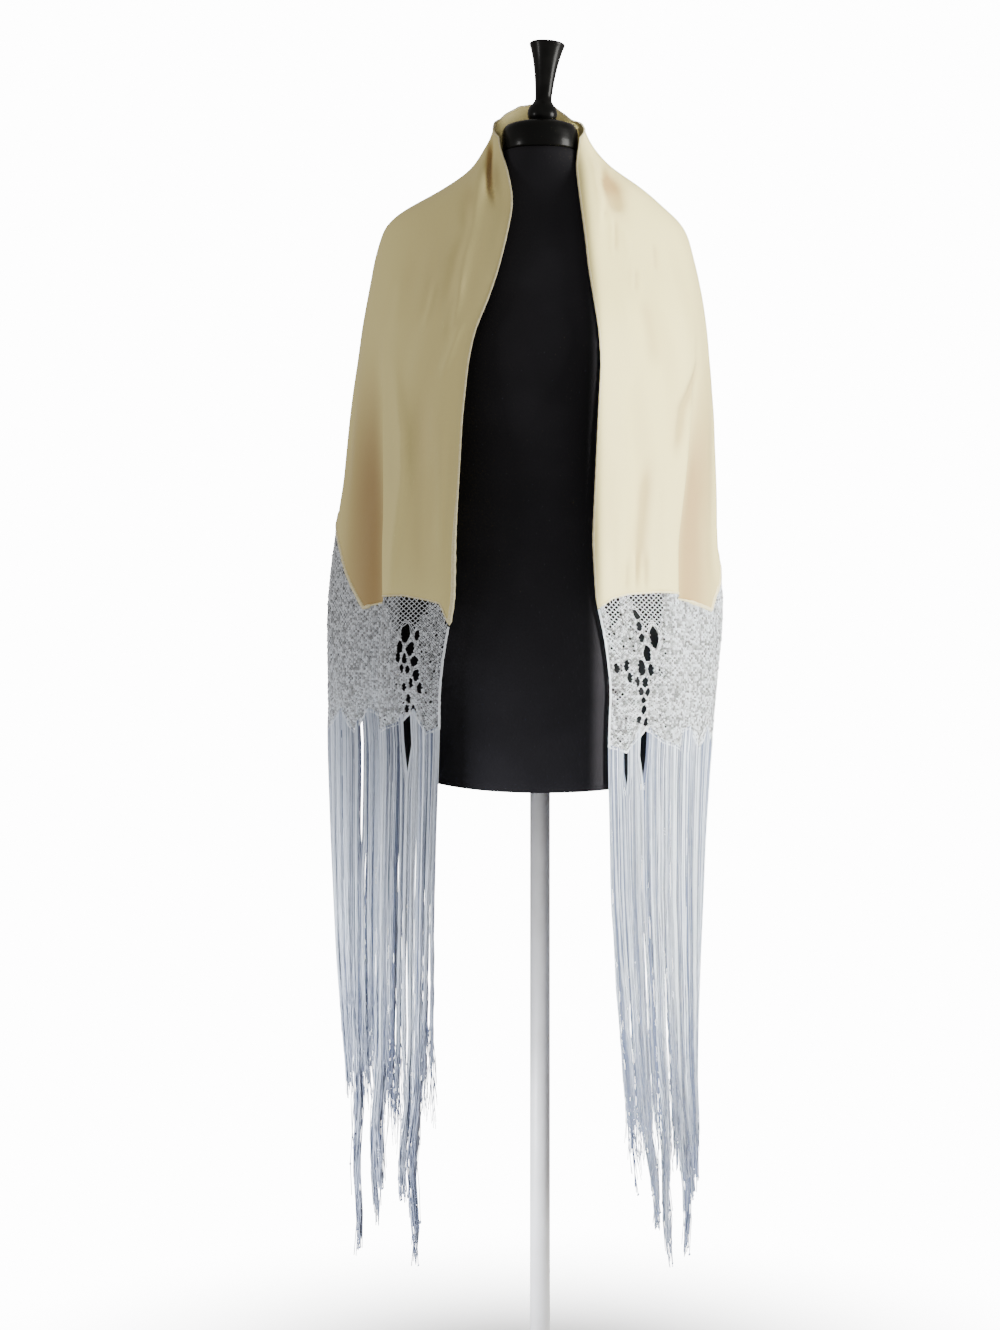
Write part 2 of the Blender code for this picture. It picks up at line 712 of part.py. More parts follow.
def build_body():
    points, faces = [], []
    for row, (height, half_width, front, back) in enumerate(BODY):
        for k in range(FORM_SIDES):
            turn = 2.0 * math.pi * k / FORM_SIDES
            point = body_point(height, turn, half_width, front, back)
            if UNDER_CLOTH_FROM < height < UNDER_CLOTH_TO:
                point = kept_under_cloth(point)
            if row == 0:
                dip = abs(math.sin(turn)) ** FORM_FLOOR_CURVE
                point[2] = FORM_FLOOR_SIDE - FORM_FLOOR_DIP * dip
            points.append(point)
    for row in range(len(BODY) - 1):
        for k in range(FORM_SIDES):
            a = row * FORM_SIDES + k
            b = row * FORM_SIDES + (k + 1) % FORM_SIDES
            faces.append((a, b, b + FORM_SIDES, a + FORM_SIDES))
    top = [(len(BODY) - 1) * FORM_SIDES + k for k in range(FORM_SIDES)]
    faces.append(tuple(top))
    socket = len(points)
    for k in range(FORM_SIDES):
        turn = 2.0 * math.pi * k / FORM_SIDES
        away = POLE_SOCKET_RADIUS
        points.append(np.array((away * math.cos(turn), away * math.sin(turn), POLE_SOCKET_HEIGHT)))
    for k in range(FORM_SIDES):
        after = (k + 1) % FORM_SIDES
        faces.append((k, socket + k, socket + after, after))
    faces.append(tuple(socket + k for k in reversed(range(FORM_SIDES))))
    return add_object("form_body", points, faces, "jersey")


def build_turned(name, profile, sides, finish, base_height=0.0, lean=0.0, shift=0.0):
    """A turned piece: rings of the profile, closed at the foot and the head."""
    points, faces = [], []
    for radius, height in profile:
        for k in range(sides):
            turn = 2.0 * math.pi * k / sides
            x, y, z = radius * math.cos(turn), radius * math.sin(turn), height
            leaned = (
                x * math.cos(lean) + z * math.sin(lean) + shift,
                y,
                z * math.cos(lean) - x * math.sin(lean) + base_height,
            )
            points.append(np.array(leaned))
    for row in range(len(profile) - 1):
        for k in range(sides):
            a = row * sides + k
            b = row * sides + (k + 1) % sides
            faces.append((a, b, b + sides, a + sides))
    faces.append(tuple(reversed(range(sides))))
    faces.append(tuple((len(profile) - 1) * sides + k for k in range(sides)))
    return add_object(name, points, faces, finish)


def build_finial():
    """The finial leans a little, so its foot is lifted clear of the cap all round."""
    lift = FINIAL[0][0] * math.sin(FINIAL_LEAN)
    return build_turned(
        "finial", FINIAL, 20, "lacquer", FINIAL_SEAT + lift, FINIAL_LEAN, FINIAL_SHIFT
    )


def build_stand():
    foot_top = FOOT_HEIGHT + SEAM_GAP
    pole_top = POLE_SOCKET_HEIGHT - SEAM_GAP
    pole = ((POLE_RADIUS, foot_top), (POLE_RADIUS, pole_top))
    build_turned("pole", pole, 24, "white_paint")
    build_turned("foot", FOOT, 40, "white_paint")


def main():
    clear_scene()
    build_body()
    build_turned("neck_cap", NECK_CAP, 32, "lacquer")
    build_finial()
    build_stand()
    cloth = cloth_sheet()
    add_wall("shawl_cloth", cloth, CLOTH_WALL, "cloth")
    last = len(lace_shares()) - 1
    for side, word in ((LEFT, "left"), (RIGHT, "right")):
        lace, feet = lace_sheet(side, cloth)
        add_wall(f"lace_{word}", lace, LACE_WALL, "lace")
        for part, start, end in (("front", 0, FRINGE_SPLIT_STEP), ("side", FRINGE_SPLIT_STEP, last)):
            fringe = fringe_sheet(side, lace, feet, start, end)
            add_wall(f"fringe_{word}_{part}", fringe, LACE_WALL, "fringe")


main()
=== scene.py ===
"""Looks of the cream silk shawl with its knotted lace border and fringe, on a dress form.

Metres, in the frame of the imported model: +X to the right seen from the front, +Y to the back,
+Z up, with the origin under the middle of the round foot.
"""

import logging
import math
from collections.abc import Sequence
from dataclasses import dataclass, field
from enum import Enum
from typing import Any

import bpy
import numpy as np
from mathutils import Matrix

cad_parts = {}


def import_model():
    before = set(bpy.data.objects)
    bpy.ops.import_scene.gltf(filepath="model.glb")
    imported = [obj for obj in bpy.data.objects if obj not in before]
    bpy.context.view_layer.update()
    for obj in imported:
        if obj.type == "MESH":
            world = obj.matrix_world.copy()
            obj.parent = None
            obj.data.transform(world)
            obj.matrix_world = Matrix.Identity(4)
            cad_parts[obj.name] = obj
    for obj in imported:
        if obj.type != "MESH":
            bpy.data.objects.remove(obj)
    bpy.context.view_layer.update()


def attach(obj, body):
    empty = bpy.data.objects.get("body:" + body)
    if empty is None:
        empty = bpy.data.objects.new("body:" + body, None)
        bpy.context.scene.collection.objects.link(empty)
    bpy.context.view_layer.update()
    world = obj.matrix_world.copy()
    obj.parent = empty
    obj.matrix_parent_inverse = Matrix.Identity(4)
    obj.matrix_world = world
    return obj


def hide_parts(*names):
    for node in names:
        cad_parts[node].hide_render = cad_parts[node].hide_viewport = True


log = logging.getLogger("shawl")

Rows = tuple[tuple[float, ...], ...]
Point = tuple[float, float, float]


class Side(Enum):
    """The wearer's two fronts, as seen from the front."""

    LEFT = -1
    RIGHT = 1

    @property
    def word(self) -> str:
        """The side's name in node names."""
        return self.name.lower()

    def column(self, left_column: int) -> int:
        """The table column for this side, given the left one's."""
        return left_column if self is Side.LEFT else left_column + 1


# Ovals that the cloth hangs on: height, half width left, half width right, depth front, depth back.
OVALS = np.array((
    (0.150, 0.2400, 0.1985, 0.092, 0.110),
    (0.230, 0.2380, 0.2000, 0.093, 0.110),
    (0.380, 0.2410, 0.1960, 0.095, 0.110),
    (0.530, 0.2530, 0.2000, 0.098, 0.112),
    (0.680, 0.2600, 0.2060, 0.101, 0.114),
    (0.790, 0.2640, 0.2135, 0.104, 0.116),
    (0.865, 0.2645, 0.2200, 0.106, 0.118),
    (0.940, 0.2655, 0.2270, 0.108, 0.119),
    (0.976, 0.2645, 0.2280, 0.109, 0.120),
    (1.014, 0.2610, 0.2245, 0.110, 0.120),
    (1.051, 0.2560, 0.2210, 0.111, 0.120),
    (1.089, 0.2510, 0.2200, 0.112, 0.119),
    (1.126, 0.2450, 0.2190, 0.113, 0.118),
    (1.201, 0.2360, 0.2160, 0.117, 0.115),
    (1.276, 0.2260, 0.2110, 0.122, 0.110),
    (1.314, 0.2210, 0.2075, 0.122, 0.107),
    (1.351, 0.2150, 0.2025, 0.110, 0.105),
    (1.389, 0.2090, 0.1950, 0.092, 0.102),
    (1.408, 0.2045, 0.1900, 0.084, 0.099),
    (1.426, 0.1990, 0.1860, 0.077, 0.096),
    (1.445, 0.1925, 0.1775, 0.069, 0.090),
    (1.464, 0.1675, 0.1550, 0.061, 0.083),
    (1.483, 0.1300, 0.1350, 0.053, 0.075),
    (1.501, 0.1010, 0.1090, 0.045, 0.067),
    (1.520, 0.0800, 0.0810, 0.030, 0.060),
    (1.539, 0.0700, 0.0670, 0.029, 0.058),
    (1.558, 0.0590, 0.0575, 0.029, 0.058),
    (1.605, 0.0530, 0.0440, 0.029, 0.062),
))

# The opening edge: height, distance from the middle on the left, and on the right.
OPENING = np.array((
    (0.150, 0.1340, 0.1110),
    (0.250, 0.1325, 0.1090),
    (0.432, 0.1275, 0.0930),
    (0.613, 0.1250, 0.0820),
    (0.793, 0.1200, 0.0775),
    (0.865, 0.1190, 0.0800),
    (0.901, 0.1155, 0.0770),
    (0.937, 0.1095, 0.0715),
    (0.973, 0.1035, 0.0635),
    (1.045, 0.1022, 0.0595),
    (1.116, 0.0975, 0.0630),
    (1.188, 0.0940, 0.0665),
    (1.260, 0.0871, 0.0705),
    (1.296, 0.0800, 0.0686),
    (1.335, 0.0645, 0.0632),
    (1.374, 0.0524, 0.0580),
    (1.413, 0.0427, 0.0548),
    (1.452, 0.0353, 0.0504),
    (1.472, 0.0353, 0.0482),
    (1.492, 0.0389, 0.0461),
    (1.515, 0.0438, 0.0445),
    (1.534, 0.0490, 0.0470),
    (1.550, 0.0515, 0.0500),
))

# The long fold: height, run of cloth to it on the left, and on the right, how far the panel stands out.
FOLDS = np.array((
    (0.150, 0.062, 0.068, 0.018),
    (0.800, 0.069, 0.086, 0.022),
    (0.980, 0.083, 0.097, 0.022),
    (1.068, 0.087, 0.104, 0.020),
    (1.217, 0.103, 0.121, 0.012),
    (1.307, 0.124, 0.134, 0.005),
    (1.380, 0.134, 0.138, 0.000),
    (1.445, 0.122, 0.114, 0.000),
    (1.483, 0.080, 0.076, 0.000),
    (1.501, 0.056, 0.055, 0.000),
    (1.539, 0.038, 0.036, 0.000),
    (1.605, 0.034, 0.033, 0.000),
))

# Soft drape folds: share of the way round, half width as a share, stand on the left, and on the right.
SOFT_FOLDS = (
    (0.43, 0.030, -0.004, -0.003),
    (0.60, 0.040, -0.007, -0.006),
    (0.70, 0.040, 0.010, 0.008),
    (0.80, 0.040, -0.006, -0.007),
    (0.90, 0.040, 0.008, 0.010),
)

# The collar's rolls: share, half share, height, half height, stand.
COLLAR_ROLLS: dict[Side, Rows] = {
    Side.LEFT: (
        (0.16, 0.09, 1.492, 0.028, 0.008),
        (0.06, 0.05, 1.478, 0.022, -0.002),
    ),
    Side.RIGHT: (
        (0.22, 0.09, 1.500, 0.030, 0.006),
    ),
}

# Hem of the cloth: share, height on the left, height on the right.
HEM = np.array((
    (0.000, 0.9430, 0.9630),
    (0.050, 0.9690, 0.9750),
    (0.100, 0.9730, 0.9800),
    (0.200, 0.9790, 0.9830),
    (0.270, 0.9780, 0.9810),
    (0.340, 0.9680, 0.9730),
    (0.357, 0.9646, 0.9700),
    (0.409, 1.0130, 0.9625),
    (0.460, 1.0580, 0.9960),
    (0.500, 1.0860, 1.0320),
    (0.580, 1.1150, 1.0900),
    (0.680, 1.1250, 1.1180),
    (1.000, 1.1300, 1.1300),
))

# Collar's upper edge: share, height.
COLLAR = np.array((
    (0.000, 1.5500),
    (0.100, 1.5620),
    (0.200, 1.5740),
    (0.450, 1.5930),
    (0.700, 1.6060),
    (1.000, 1.6110),
))

# Where the strands end: share, height on the left, height on the right.
TIPS = np.array((
    (0.00, 0.345, 0.300),
    (0.15, 0.330, 0.330),
    (0.34, 0.400, 0.300),
    (0.58, 0.400, 0.290),
))

# Dress form, from the hem up: height, half width, depth to the front, depth to the back.
BODY = np.array((
    (0.764, 0.1710, 0.096, 0.101),
    (0.800, 0.1770, 0.100, 0.105),
    (0.864, 0.1920, 0.104, 0.109),
    (0.915, 0.1990, 0.103, 0.108),
    (0.972, 0.1930, 0.098, 0.100),
    (1.020, 0.1680, 0.092, 0.090),
    (1.070, 0.1430, 0.088, 0.082),
    (1.120, 0.1350, 0.092, 0.082),
    (1.180, 0.1380, 0.100, 0.086),
    (1.260, 0.1520, 0.116, 0.092),
    (1.300, 0.1620, 0.118, 0.096),
    (1.340, 0.1750, 0.102, 0.096),
    (1.380, 0.1840, 0.085, 0.092),
    (1.410, 0.1870, 0.072, 0.088),
    (1.430, 0.1850, 0.062, 0.083),
    (1.445, 0.1800, 0.056, 0.077),
    (1.460, 0.1560, 0.050, 0.070),
    (1.480, 0.1050, 0.047, 0.060),
    (1.500, 0.0600, 0.0455, 0.051),
    (1.520, 0.0470, 0.0450, 0.047),
    (1.5345, 0.0460, 0.0450, 0.046),
))


def smooth_rise(value: np.ndarray, low: float, high: float) -> np.ndarray:
    """0 at low, 1 at high, with an easy start and end.

    Args:
        value: What is measured.
        low: Where the rise starts.
        high: Where it ends.

    Returns:
        The risen share, from 0 to 1.
    """
    part = np.clip((np.asarray(value, dtype=float) - low) / (high - low), 0.0, 1.0)
    return part * part * (3.0 - 2.0 * part)


def softened(values: np.ndarray, spread: float) -> np.ndarray:
    """Round off the kinks along the first axis and keep its two ends.

    Args:
        values: Samples, evenly spaced.
        spread: Width of the rounding, in samples.

    Returns:
        The rounded samples.
    """
    reach = int(math.ceil(3 * spread))
    weights = np.exp(-0.5 * (np.arange(-reach, reach + 1) / spread) ** 2)
    weights /= weights.sum()
    before = 2 * values[0] - values[reach:0:-1]
    after = 2 * values[-1] - values[-2:-reach - 2:-1]
    padded = np.concatenate((before, values, after))
    total = np.zeros_like(values)
    for k, weight in enumerate(weights):
        total += weight * padded[k:k + len(values)]
    return total


def read(table: np.ndarray, at: Any, column: int) -> Any:
    """Read a column of a table between its rows, at values of its first column."""
    return np.interp(at, table[:, 0], table[:, column])


def hem_height(side: Side, shares: np.ndarray) -> np.ndarray:
    """Heights of the cloth's hem on one half."""
    return read(HEM, shares, side.column(1))


@dataclass
class Drape:
    """The hanging surface of one half, as places by share of the way round and height."""

    side: Side
    oval_power: float = 2.3
    oval_steps: int = 240
    fold_reach: float = 0.024
    fold_overlap: float = 0.011
    fold_full_depth: float = 0.022
    fold_reach_share: float = 0.35
    panel_share: float = 0.20
    side_share: float = 0.34
    soft_fold_top: float = 1.40
    soft_fold_full: float = 1.12
    lowest: float = 0.150
    highest: float = 1.605
    level_step: float = 0.004
    share_steps: int = 500
    level_rounding: float = 2.2
    share_rounding: float = 2.0
    probe: float = 0.004
    places: np.ndarray = field(init=False)
    runs: np.ndarray = field(init=False)

    def __post_init__(self) -> None:
        """Work out the table of places once."""
        levels = np.arange(self.lowest, self.highest + 1e-9, self.level_step)
        shares = np.linspace(0.0, 1.0, self.share_steps + 1)
        rows = np.array([self._row(shares, level) for level in levels])
        rows = softened(rows, self.level_rounding)
        rows = softened(rows.transpose(1, 0, 2), self.share_rounding).transpose(1, 0, 2)
        self.places = rows
        steps = np.hypot(np.diff(rows[:, :, 0], axis=1), np.diff(rows[:, :, 1], axis=1))
        self.runs = np.concatenate((np.zeros((len(levels), 1)), np.cumsum(steps, axis=1)), axis=1)

    def _row(self, shares: np.ndarray, level: float) -> np.ndarray:
        """Places round the half at one height.

        Args:
            shares: Shares of the way round.
            level: Height.

        Returns:
            Distance from the middle and depth, for each share.
        """
        half_width = read(OVALS, level, self.side.column(1))
        front, back = read(OVALS, level, 3), read(OVALS, level, 4)
        turn = np.linspace(-math.pi / 2, math.pi / 2, self.oval_steps)
        across = half_width * np.abs(np.cos(turn)) ** (2.0 / self.oval_power)
        depth = np.where(turn < 0, front, back)
        along = depth * np.sign(turn) * np.abs(np.sin(turn)) ** (2.0 / self.oval_power)
        run = np.concatenate(((0.0,), np.cumsum(np.hypot(np.diff(across), np.diff(along)))))
        out_x, out_y = np.gradient(along, run), -np.gradient(across, run)

        front_half = self.oval_steps // 2
        opening = read(OPENING, level, self.side.column(1))
        edge = np.interp(opening, across[:front_half], run[:front_half])
        fold = edge + read(FOLDS, level, self.side.column(1))
        stand_out = read(FOLDS, level, 3)
        fold_part = stand_out / self.fold_full_depth
        reach = min(self.fold_reach, self.fold_reach_share * (fold - edge))

        panel = edge + (fold - reach - edge) * shares / self.panel_share
        turned = 2.0 * (shares - self.panel_share) / (self.side_share - self.panel_share) - 1.0
        overlap = self.fold_overlap * fold_part * np.sin(math.pi * turned)
        round_fold = fold + reach * turned - overlap
        rest = (shares - self.side_share) / (1.0 - self.side_share)
        side_part = fold + reach + (run[-1] - fold - reach) * rest
        on_panel, on_side = shares < self.panel_share, shares >= self.side_share
        place = np.where(on_panel, panel, np.where(on_side, side_part, round_fold))
        easing = stand_out * (0.5 - 0.5 * np.sin(0.5 * math.pi * turned))
        stand = np.where(on_panel, stand_out, np.where(on_side, 0.0, easing))
        stand = stand + self._soft_stand(shares, level)
        x = np.interp(place, run, across) + stand * np.interp(place, run, out_x)
        y = np.interp(place, run, along) + stand * np.interp(place, run, out_y)
        return np.stack((x, y), axis=1)

    def _soft_stand(self, shares: np.ndarray, level: float) -> np.ndarray:
        """How far the soft folds and the collar's rolls stand out at one height."""
        grown = float(smooth_rise(-level, -self.soft_fold_top, -self.soft_fold_full))
        stand = np.zeros_like(shares)
        for row in SOFT_FOLDS:
            stand += grown * row[self.side.column(2)] * np.exp(-((shares - row[0]) / row[1]) ** 2)
        for centre, half, height, half_height, size in COLLAR_ROLLS[self.side]:
            away = ((shares - centre) / half) ** 2 + ((level - height) / half_height) ** 2
            stand += size * np.exp(-away)
        return stand

    def _cells(self, shares: np.ndarray, heights: np.ndarray) -> tuple[np.ndarray, ...]:
        """Table cells and the parts of the way across them."""
        column = np.clip(np.asarray(shares, dtype=float), 0.0, 1.0) * self.share_steps
        row = (np.asarray(heights, dtype=float) - self.lowest) / self.level_step
        row = np.clip(row, 0.0, len(self.places) - 1.001)
        i = np.minimum(column.astype(int), self.share_steps - 1)
        j = row.astype(int)
        return i, j, column - i, row - j

    def _blend(self, table: np.ndarray, shares: np.ndarray, heights: np.ndarray) -> np.ndarray:
        """Read a table between its samples."""
        i, j, u, v = self._cells(shares, heights)
        if table.ndim == 3:
            u, v = u[..., None], v[..., None]
        low = table[j, i] * (1 - u) + table[j, i + 1] * u
        high = table[j + 1, i] * (1 - u) + table[j + 1, i + 1] * u
        return low * (1 - v) + high * v

    def at(self, shares: np.ndarray, heights: np.ndarray) -> np.ndarray:
        """Places on the surface.

        Args:
            shares: Shares of the way round, 0 at the opening edge and 1 at the back middle.
            heights: Heights above the floor.

        Returns:
            Points, one row each.
        """
        flat = self._blend(self.places, shares, heights)
        x = self.side.value * flat[..., 0]
        x = np.where(np.asarray(shares) >= 1.0, 0.0, x)
        return np.stack((x, flat[..., 1], np.broadcast_to(heights, x.shape)), axis=-1)

    def run(self, shares: np.ndarray, heights: np.ndarray) -> np.ndarray:
        """Length of cloth from the opening edge, at the given shares and heights."""
        return self._blend(self.runs, shares, heights)

    def share_at(self, runs: np.ndarray, height: float) -> np.ndarray:
        """Shares at given lengths of cloth from the opening edge, at one height."""
        row = int(round((height - self.lowest) / self.level_step))
        return np.interp(runs, self.runs[row], np.linspace(0.0, 1.0, self.share_steps + 1))

    def run_across(self, across: float, height: float, up_to: float = 0.26) -> float:
        """Run of cloth from the opening edge to a distance from the middle, on the front panel.

        Args:
            across: Distance from the middle.
            height: Height above the floor.
            up_to: Share where the front panel ends.

        Returns:
            The run.
        """
        shares = np.linspace(0.0, up_to, 120)
        x = np.maximum.accumulate(np.abs(self.at(shares, np.full_like(shares, height))[:, 0]))
        share = np.interp(across, x, shares)
        return float(self.run(np.array(share), np.array(height)))

    def outward(self, shares: np.ndarray, heights: np.ndarray) -> np.ndarray:
        """Outward directions of the surface."""
        shares, heights = np.broadcast_arrays(shares, heights)
        near, far = np.clip(shares - self.probe, 0, 1), np.clip(shares + self.probe, 0, 1)
        down, up = heights - self.probe, heights + self.probe
        round_it = self.at(far, heights) - self.at(near, heights)
        upward = self.at(shares, up) - self.at(shares, down)
        out = np.cross(round_it, upward) * self.side.value
        return out / np.linalg.norm(out, axis=-1, keepdims=True)


# Node building


class Value:
    """One output socket; the usual operators on it add Math nodes."""

    def __init__(self, bench: "Bench", socket: bpy.types.NodeSocket) -> None:
        self.bench = bench
        self.socket = socket

    def __add__(self, other: Any) -> "Value":
        """Sum."""
        return self.bench.maths("ADD", self, other)

    def __radd__(self, other: Any) -> "Value":
        """Sum, from the right."""
        return self.bench.maths("ADD", other, self)

    def __sub__(self, other: Any) -> "Value":
        """Difference."""
        return self.bench.maths("SUBTRACT", self, other)

    def __rsub__(self, other: Any) -> "Value":
        """Difference, from the right."""
        return self.bench.maths("SUBTRACT", other, self)

    def __mul__(self, other: Any) -> "Value":
        """Product."""
        return self.bench.maths("MULTIPLY", self, other)

    def __rmul__(self, other: Any) -> "Value":
        """Product, from the right."""
        return self.bench.maths("MULTIPLY", other, self)

    def __truediv__(self, other: Any) -> "Value":
        """Quotient."""
        return self.bench.maths("DIVIDE", self, other)

    def __pow__(self, other: Any) -> "Value":
        """Power."""
        return self.bench.maths("POWER", self, other)


@dataclass
class Bench:
    """Adds nodes to one tree."""

    tree: bpy.types.NodeTree

    def node(
        self,
        kind: str,
        settings: dict[str, Any] | None = None,
        values: dict[Any, Any] | None = None,
    ) -> bpy.types.Node:
        """Add a node.

        Args:
            kind: The node's type.
            settings: Its settings; stops are a ramp's positions and colours.
            values: Its inputs by name or number, as numbers or as Values to link.

        Returns:
            The node.
        """
        made = self.tree.nodes.new(kind)
        made.location = (220.0 * (len(self.tree.nodes) % 12), -260.0 * (len(self.tree.nodes) // 12))
        for key, setting in (settings or {}).items():
            if key == "stops":
                ramp = made.color_ramp
                while len(ramp.elements) < len(setting):
                    ramp.elements.new(0.5)
                for element, (position, colour) in zip(ramp.elements, setting):
                    element.position = position
                    element.color = colour
            else:
                setattr(made, key, setting)
        for key, value in (values or {}).items():
            if isinstance(value, Value):
                self.tree.links.new(value.socket, made.inputs[key])
            else:
                made.inputs[key].default_value = value
        return made

    def out(self, node: bpy.types.Node, name: Any = 0) -> Value:
        """One of a node's outputs."""
        return Value(self, node.outputs[name])

    def maths(self, operation: str, first: Any, second: Any) -> Value:
        """A Math node on two values."""
        settings = {"operation": operation}
        return self.out(self.node("ShaderNodeMath", settings, {0: first, 1: second}))

    def noise(self, place: Value, scale: float, detail: float = 2.0, rough: float = 0.5) -> Value:
        """Noise at a scale."""
        values = {"Vector": place, "Scale": scale, "Detail": detail, "Roughness": rough}
        return self.out(self.node("ShaderNodeTexNoise", {}, values))

    def stretched(self, place: Value, scale: tuple[float, float, float]) -> Value:
        """The place, stretched along the axes."""
        return self.out(self.node("ShaderNodeMapping", {}, {"Vector": place, "Scale": scale}))

    def mixed(self, part: Any, first: Any, second: Any) -> Value:
        """A mix of two colours."""
        settings = {"data_type": "RGBA"}
        return self.out(self.node("ShaderNodeMix", settings, {0: part, 6: first, 7: second}), 2)

    def tinted(self, value: Value, low: float, high: float, first: Any, second: Any) -> Value:
        """From one colour to another, as a value rises from one mark to another."""
        return self.mixed(self.risen(value, low, high), rgba(first), rgba(second))

    def risen(self, value: Value, low: float, high: float) -> Value:
        """The value mapped to 0..1 between two marks, softly."""
        settings = {"interpolation_type": "SMOOTHSTEP"}
        values = {"Value": value, "From Min": low, "From Max": high}
        return self.out(self.node("ShaderNodeMapRange", settings, values))


def rgba(colour: Sequence[float]) -> tuple[float, float, float, float]:
    """A colour with its alpha."""
    return (colour[0], colour[1], colour[2], 1.0)


@dataclass(frozen=True)
class Finish:
    """What every finish shares: a shader with its constant sockets, and a place to read."""

    name: str = "finish"

    def start(self, **sockets: Any) -> tuple[bpy.types.Material, Bench, bpy.types.Node, Value]:
        """A new material.

        Args:
            sockets: Constant values for the shader's own sockets.

        Returns:
            The material, its bench, its shader and the object coordinates.
        """
        material = bpy.data.materials.new(self.name)
        material.use_nodes = True
        bench = Bench(material.node_tree)
        shader = material.node_tree.nodes["Principled BSDF"]
        for key, value in sockets.items():
            shader.inputs[key.replace("_", " ")].default_value = value
        place = bench.out(bench.node("ShaderNodeTexCoord"), "Object")
        return material, bench, shader, place

    def link(self, bench: Bench, shader: bpy.types.Node, **values: Value) -> None:
        """Link values to the shader's sockets."""
        for key, value in values.items():
            bench.tree.links.new(value.socket, shader.inputs[key.replace("_", " ")])

    def bumped(self, bench: Bench, height: Value, distance: float, strength: float = 1.0) -> Value:
        """A bump from a height."""
        values = {"Height": height, "Distance": distance, "Strength": strength}
        return bench.out(bench.node("ShaderNodeBump", {}, values))


@dataclass(frozen=True)
class CrepeFinish(Finish):
    """Cream silk crepe: pebbly fine grain, soft wrinkles, a gentle sheen, and painted shade in its folds and
    creases.
    """

    name: str = "cream_crepe"
    cream: Point = (0.845, 0.740, 0.325)
    shade: Point = (0.80, 0.685, 0.310)
    # Colour towards which the painted shade in folds and creases darkens the crepe.
    fold: Point = (0.42, 0.285, 0.115)
    grain_scale: float = 850.0
    wrinkle_height: float = 0.0012

    def material(self) -> bpy.types.Material:
        """Build the material."""
        made, bench, shader, place = self.start(
            Sheen_Weight=0.07, Sheen_Roughness=0.45, Specular_IOR_Level=0.30
        )
        cloudy = bench.noise(place, 7.0, 3.0)
        fine = bench.noise(place, 260.0, 2.0)
        part = bench.risen(cloudy * 0.8 + fine * 0.2, 0.42, 0.72)
        colour = bench.mixed(part * 0.65, rgba(self.cream), rgba(self.shade))
        # Painted shade: a point attribute from the cloth darkens the cream in the long fold, round the
        # collar and in crease troughs.
        deep = bench.out(bench.node("ShaderNodeAttribute", {"attribute_name": "deep"}), "Fac")
        colour = bench.mixed(deep, colour, rgba(self.fold))
        grain = bench.noise(place, self.grain_scale, 3.0, 0.6)
        ribs = bench.noise(bench.stretched(place, (1.0, 1.0, 0.25)), 420.0, 2.0)
        wrinkles = bench.noise(bench.stretched(place, (1.0, 1.0, 0.22)), 42.0, 2.0, 0.45)
        height = grain * 0.10 + ribs * 0.05 + wrinkles
        self.link(
            bench, shader, Base_Color=colour, Roughness=fine * 0.12 + 0.50,
            Normal=self.bumped(bench, height, self.wrinkle_height, 0.45),
        )
        return made


@dataclass(frozen=True)
class HemFinish(Finish):
    """Rolled hem: the crepe turned over a few stitches, lighter than the crepe and tightly ribbed."""

    name: str = "rolled_hem_silk"
    cream: Point = (0.88, 0.80, 0.50)
    shade: Point = (0.76, 0.67, 0.36)

    def material(self) -> bpy.types.Material:
        """Build the material."""
        made, bench, shader, place = self.start(Sheen_Weight=0.2, Roughness=0.5)
        ribs = bench.noise(bench.stretched(place, (1.0, 1.0, 2.0)), 380.0, 2.0)
        colour = bench.tinted(ribs, 0.35, 0.65, self.cream, self.shade)
        self.link(bench, shader, Base_Color=colour, Normal=self.bumped(bench, ribs, 0.0006, 0.7))
        return made


@dataclass(frozen=True)
class CordFinish(Finish):
    """Twisted silk cord of the lace or the fringe, a little lighter or darker from cord to cord; the dark
    end of its tone is also painted shade among the knots and strands.
    """

    name: str = "lace_cord_silk"
    light: Point = (0.80, 0.85, 0.91)
    # Darker cords, and painted shade among the knots and strands.
    dark: Point = (0.16, 0.165, 0.17)
    twist_scale: float = 900.0
    roughness: float = 0.48
    sheen: float = 0.25

    def material(self) -> bpy.types.Material:
        """Build the material."""
        made, bench, shader, place = self.start(
            Sheen_Weight=self.sheen, Sheen_Roughness=0.35, Roughness=self.roughness
        )
        tone = bench.node("ShaderNodeAttribute", {"attribute_name": "tone"})
        patches = bench.noise(place, 110.0, 2.0)
        part = bench.out(tone, "Fac") * 0.92 + patches * 0.14
        colour = bench.tinted(part, 0.1, 1.0, self.dark, self.light)
        fibres = bench.noise(place, self.twist_scale, 2.0)
        self.link(bench, shader, Base_Color=colour, Normal=self.bumped(bench, fibres, 0.0004, 0.5))
        return made


@dataclass(frozen=True)
class GroundFinish(Finish):
    """Close grain of the cords behind the knots, dark all over as painted shadow between the knots, darkest
    in its pits.
    """

    name: str = "lace_ground_silk"
    light: Point = (0.52, 0.55, 0.58)
    dark: Point = (0.06, 0.062, 0.066)
    grain: float = 330.0

    def material(self) -> bpy.types.Material:
        """Build the material."""
        made, bench, shader, place = self.start(Roughness=0.6, Sheen_Weight=0.1)
        grain = bench.noise(place, self.grain, 2.0)
        colour = bench.tinted(grain, 0.44, 0.62, self.dark, self.light)
        self.link(bench, shader, Base_Color=colour, Normal=self.bumped(bench, grain, 0.0006, 0.6))
        return made


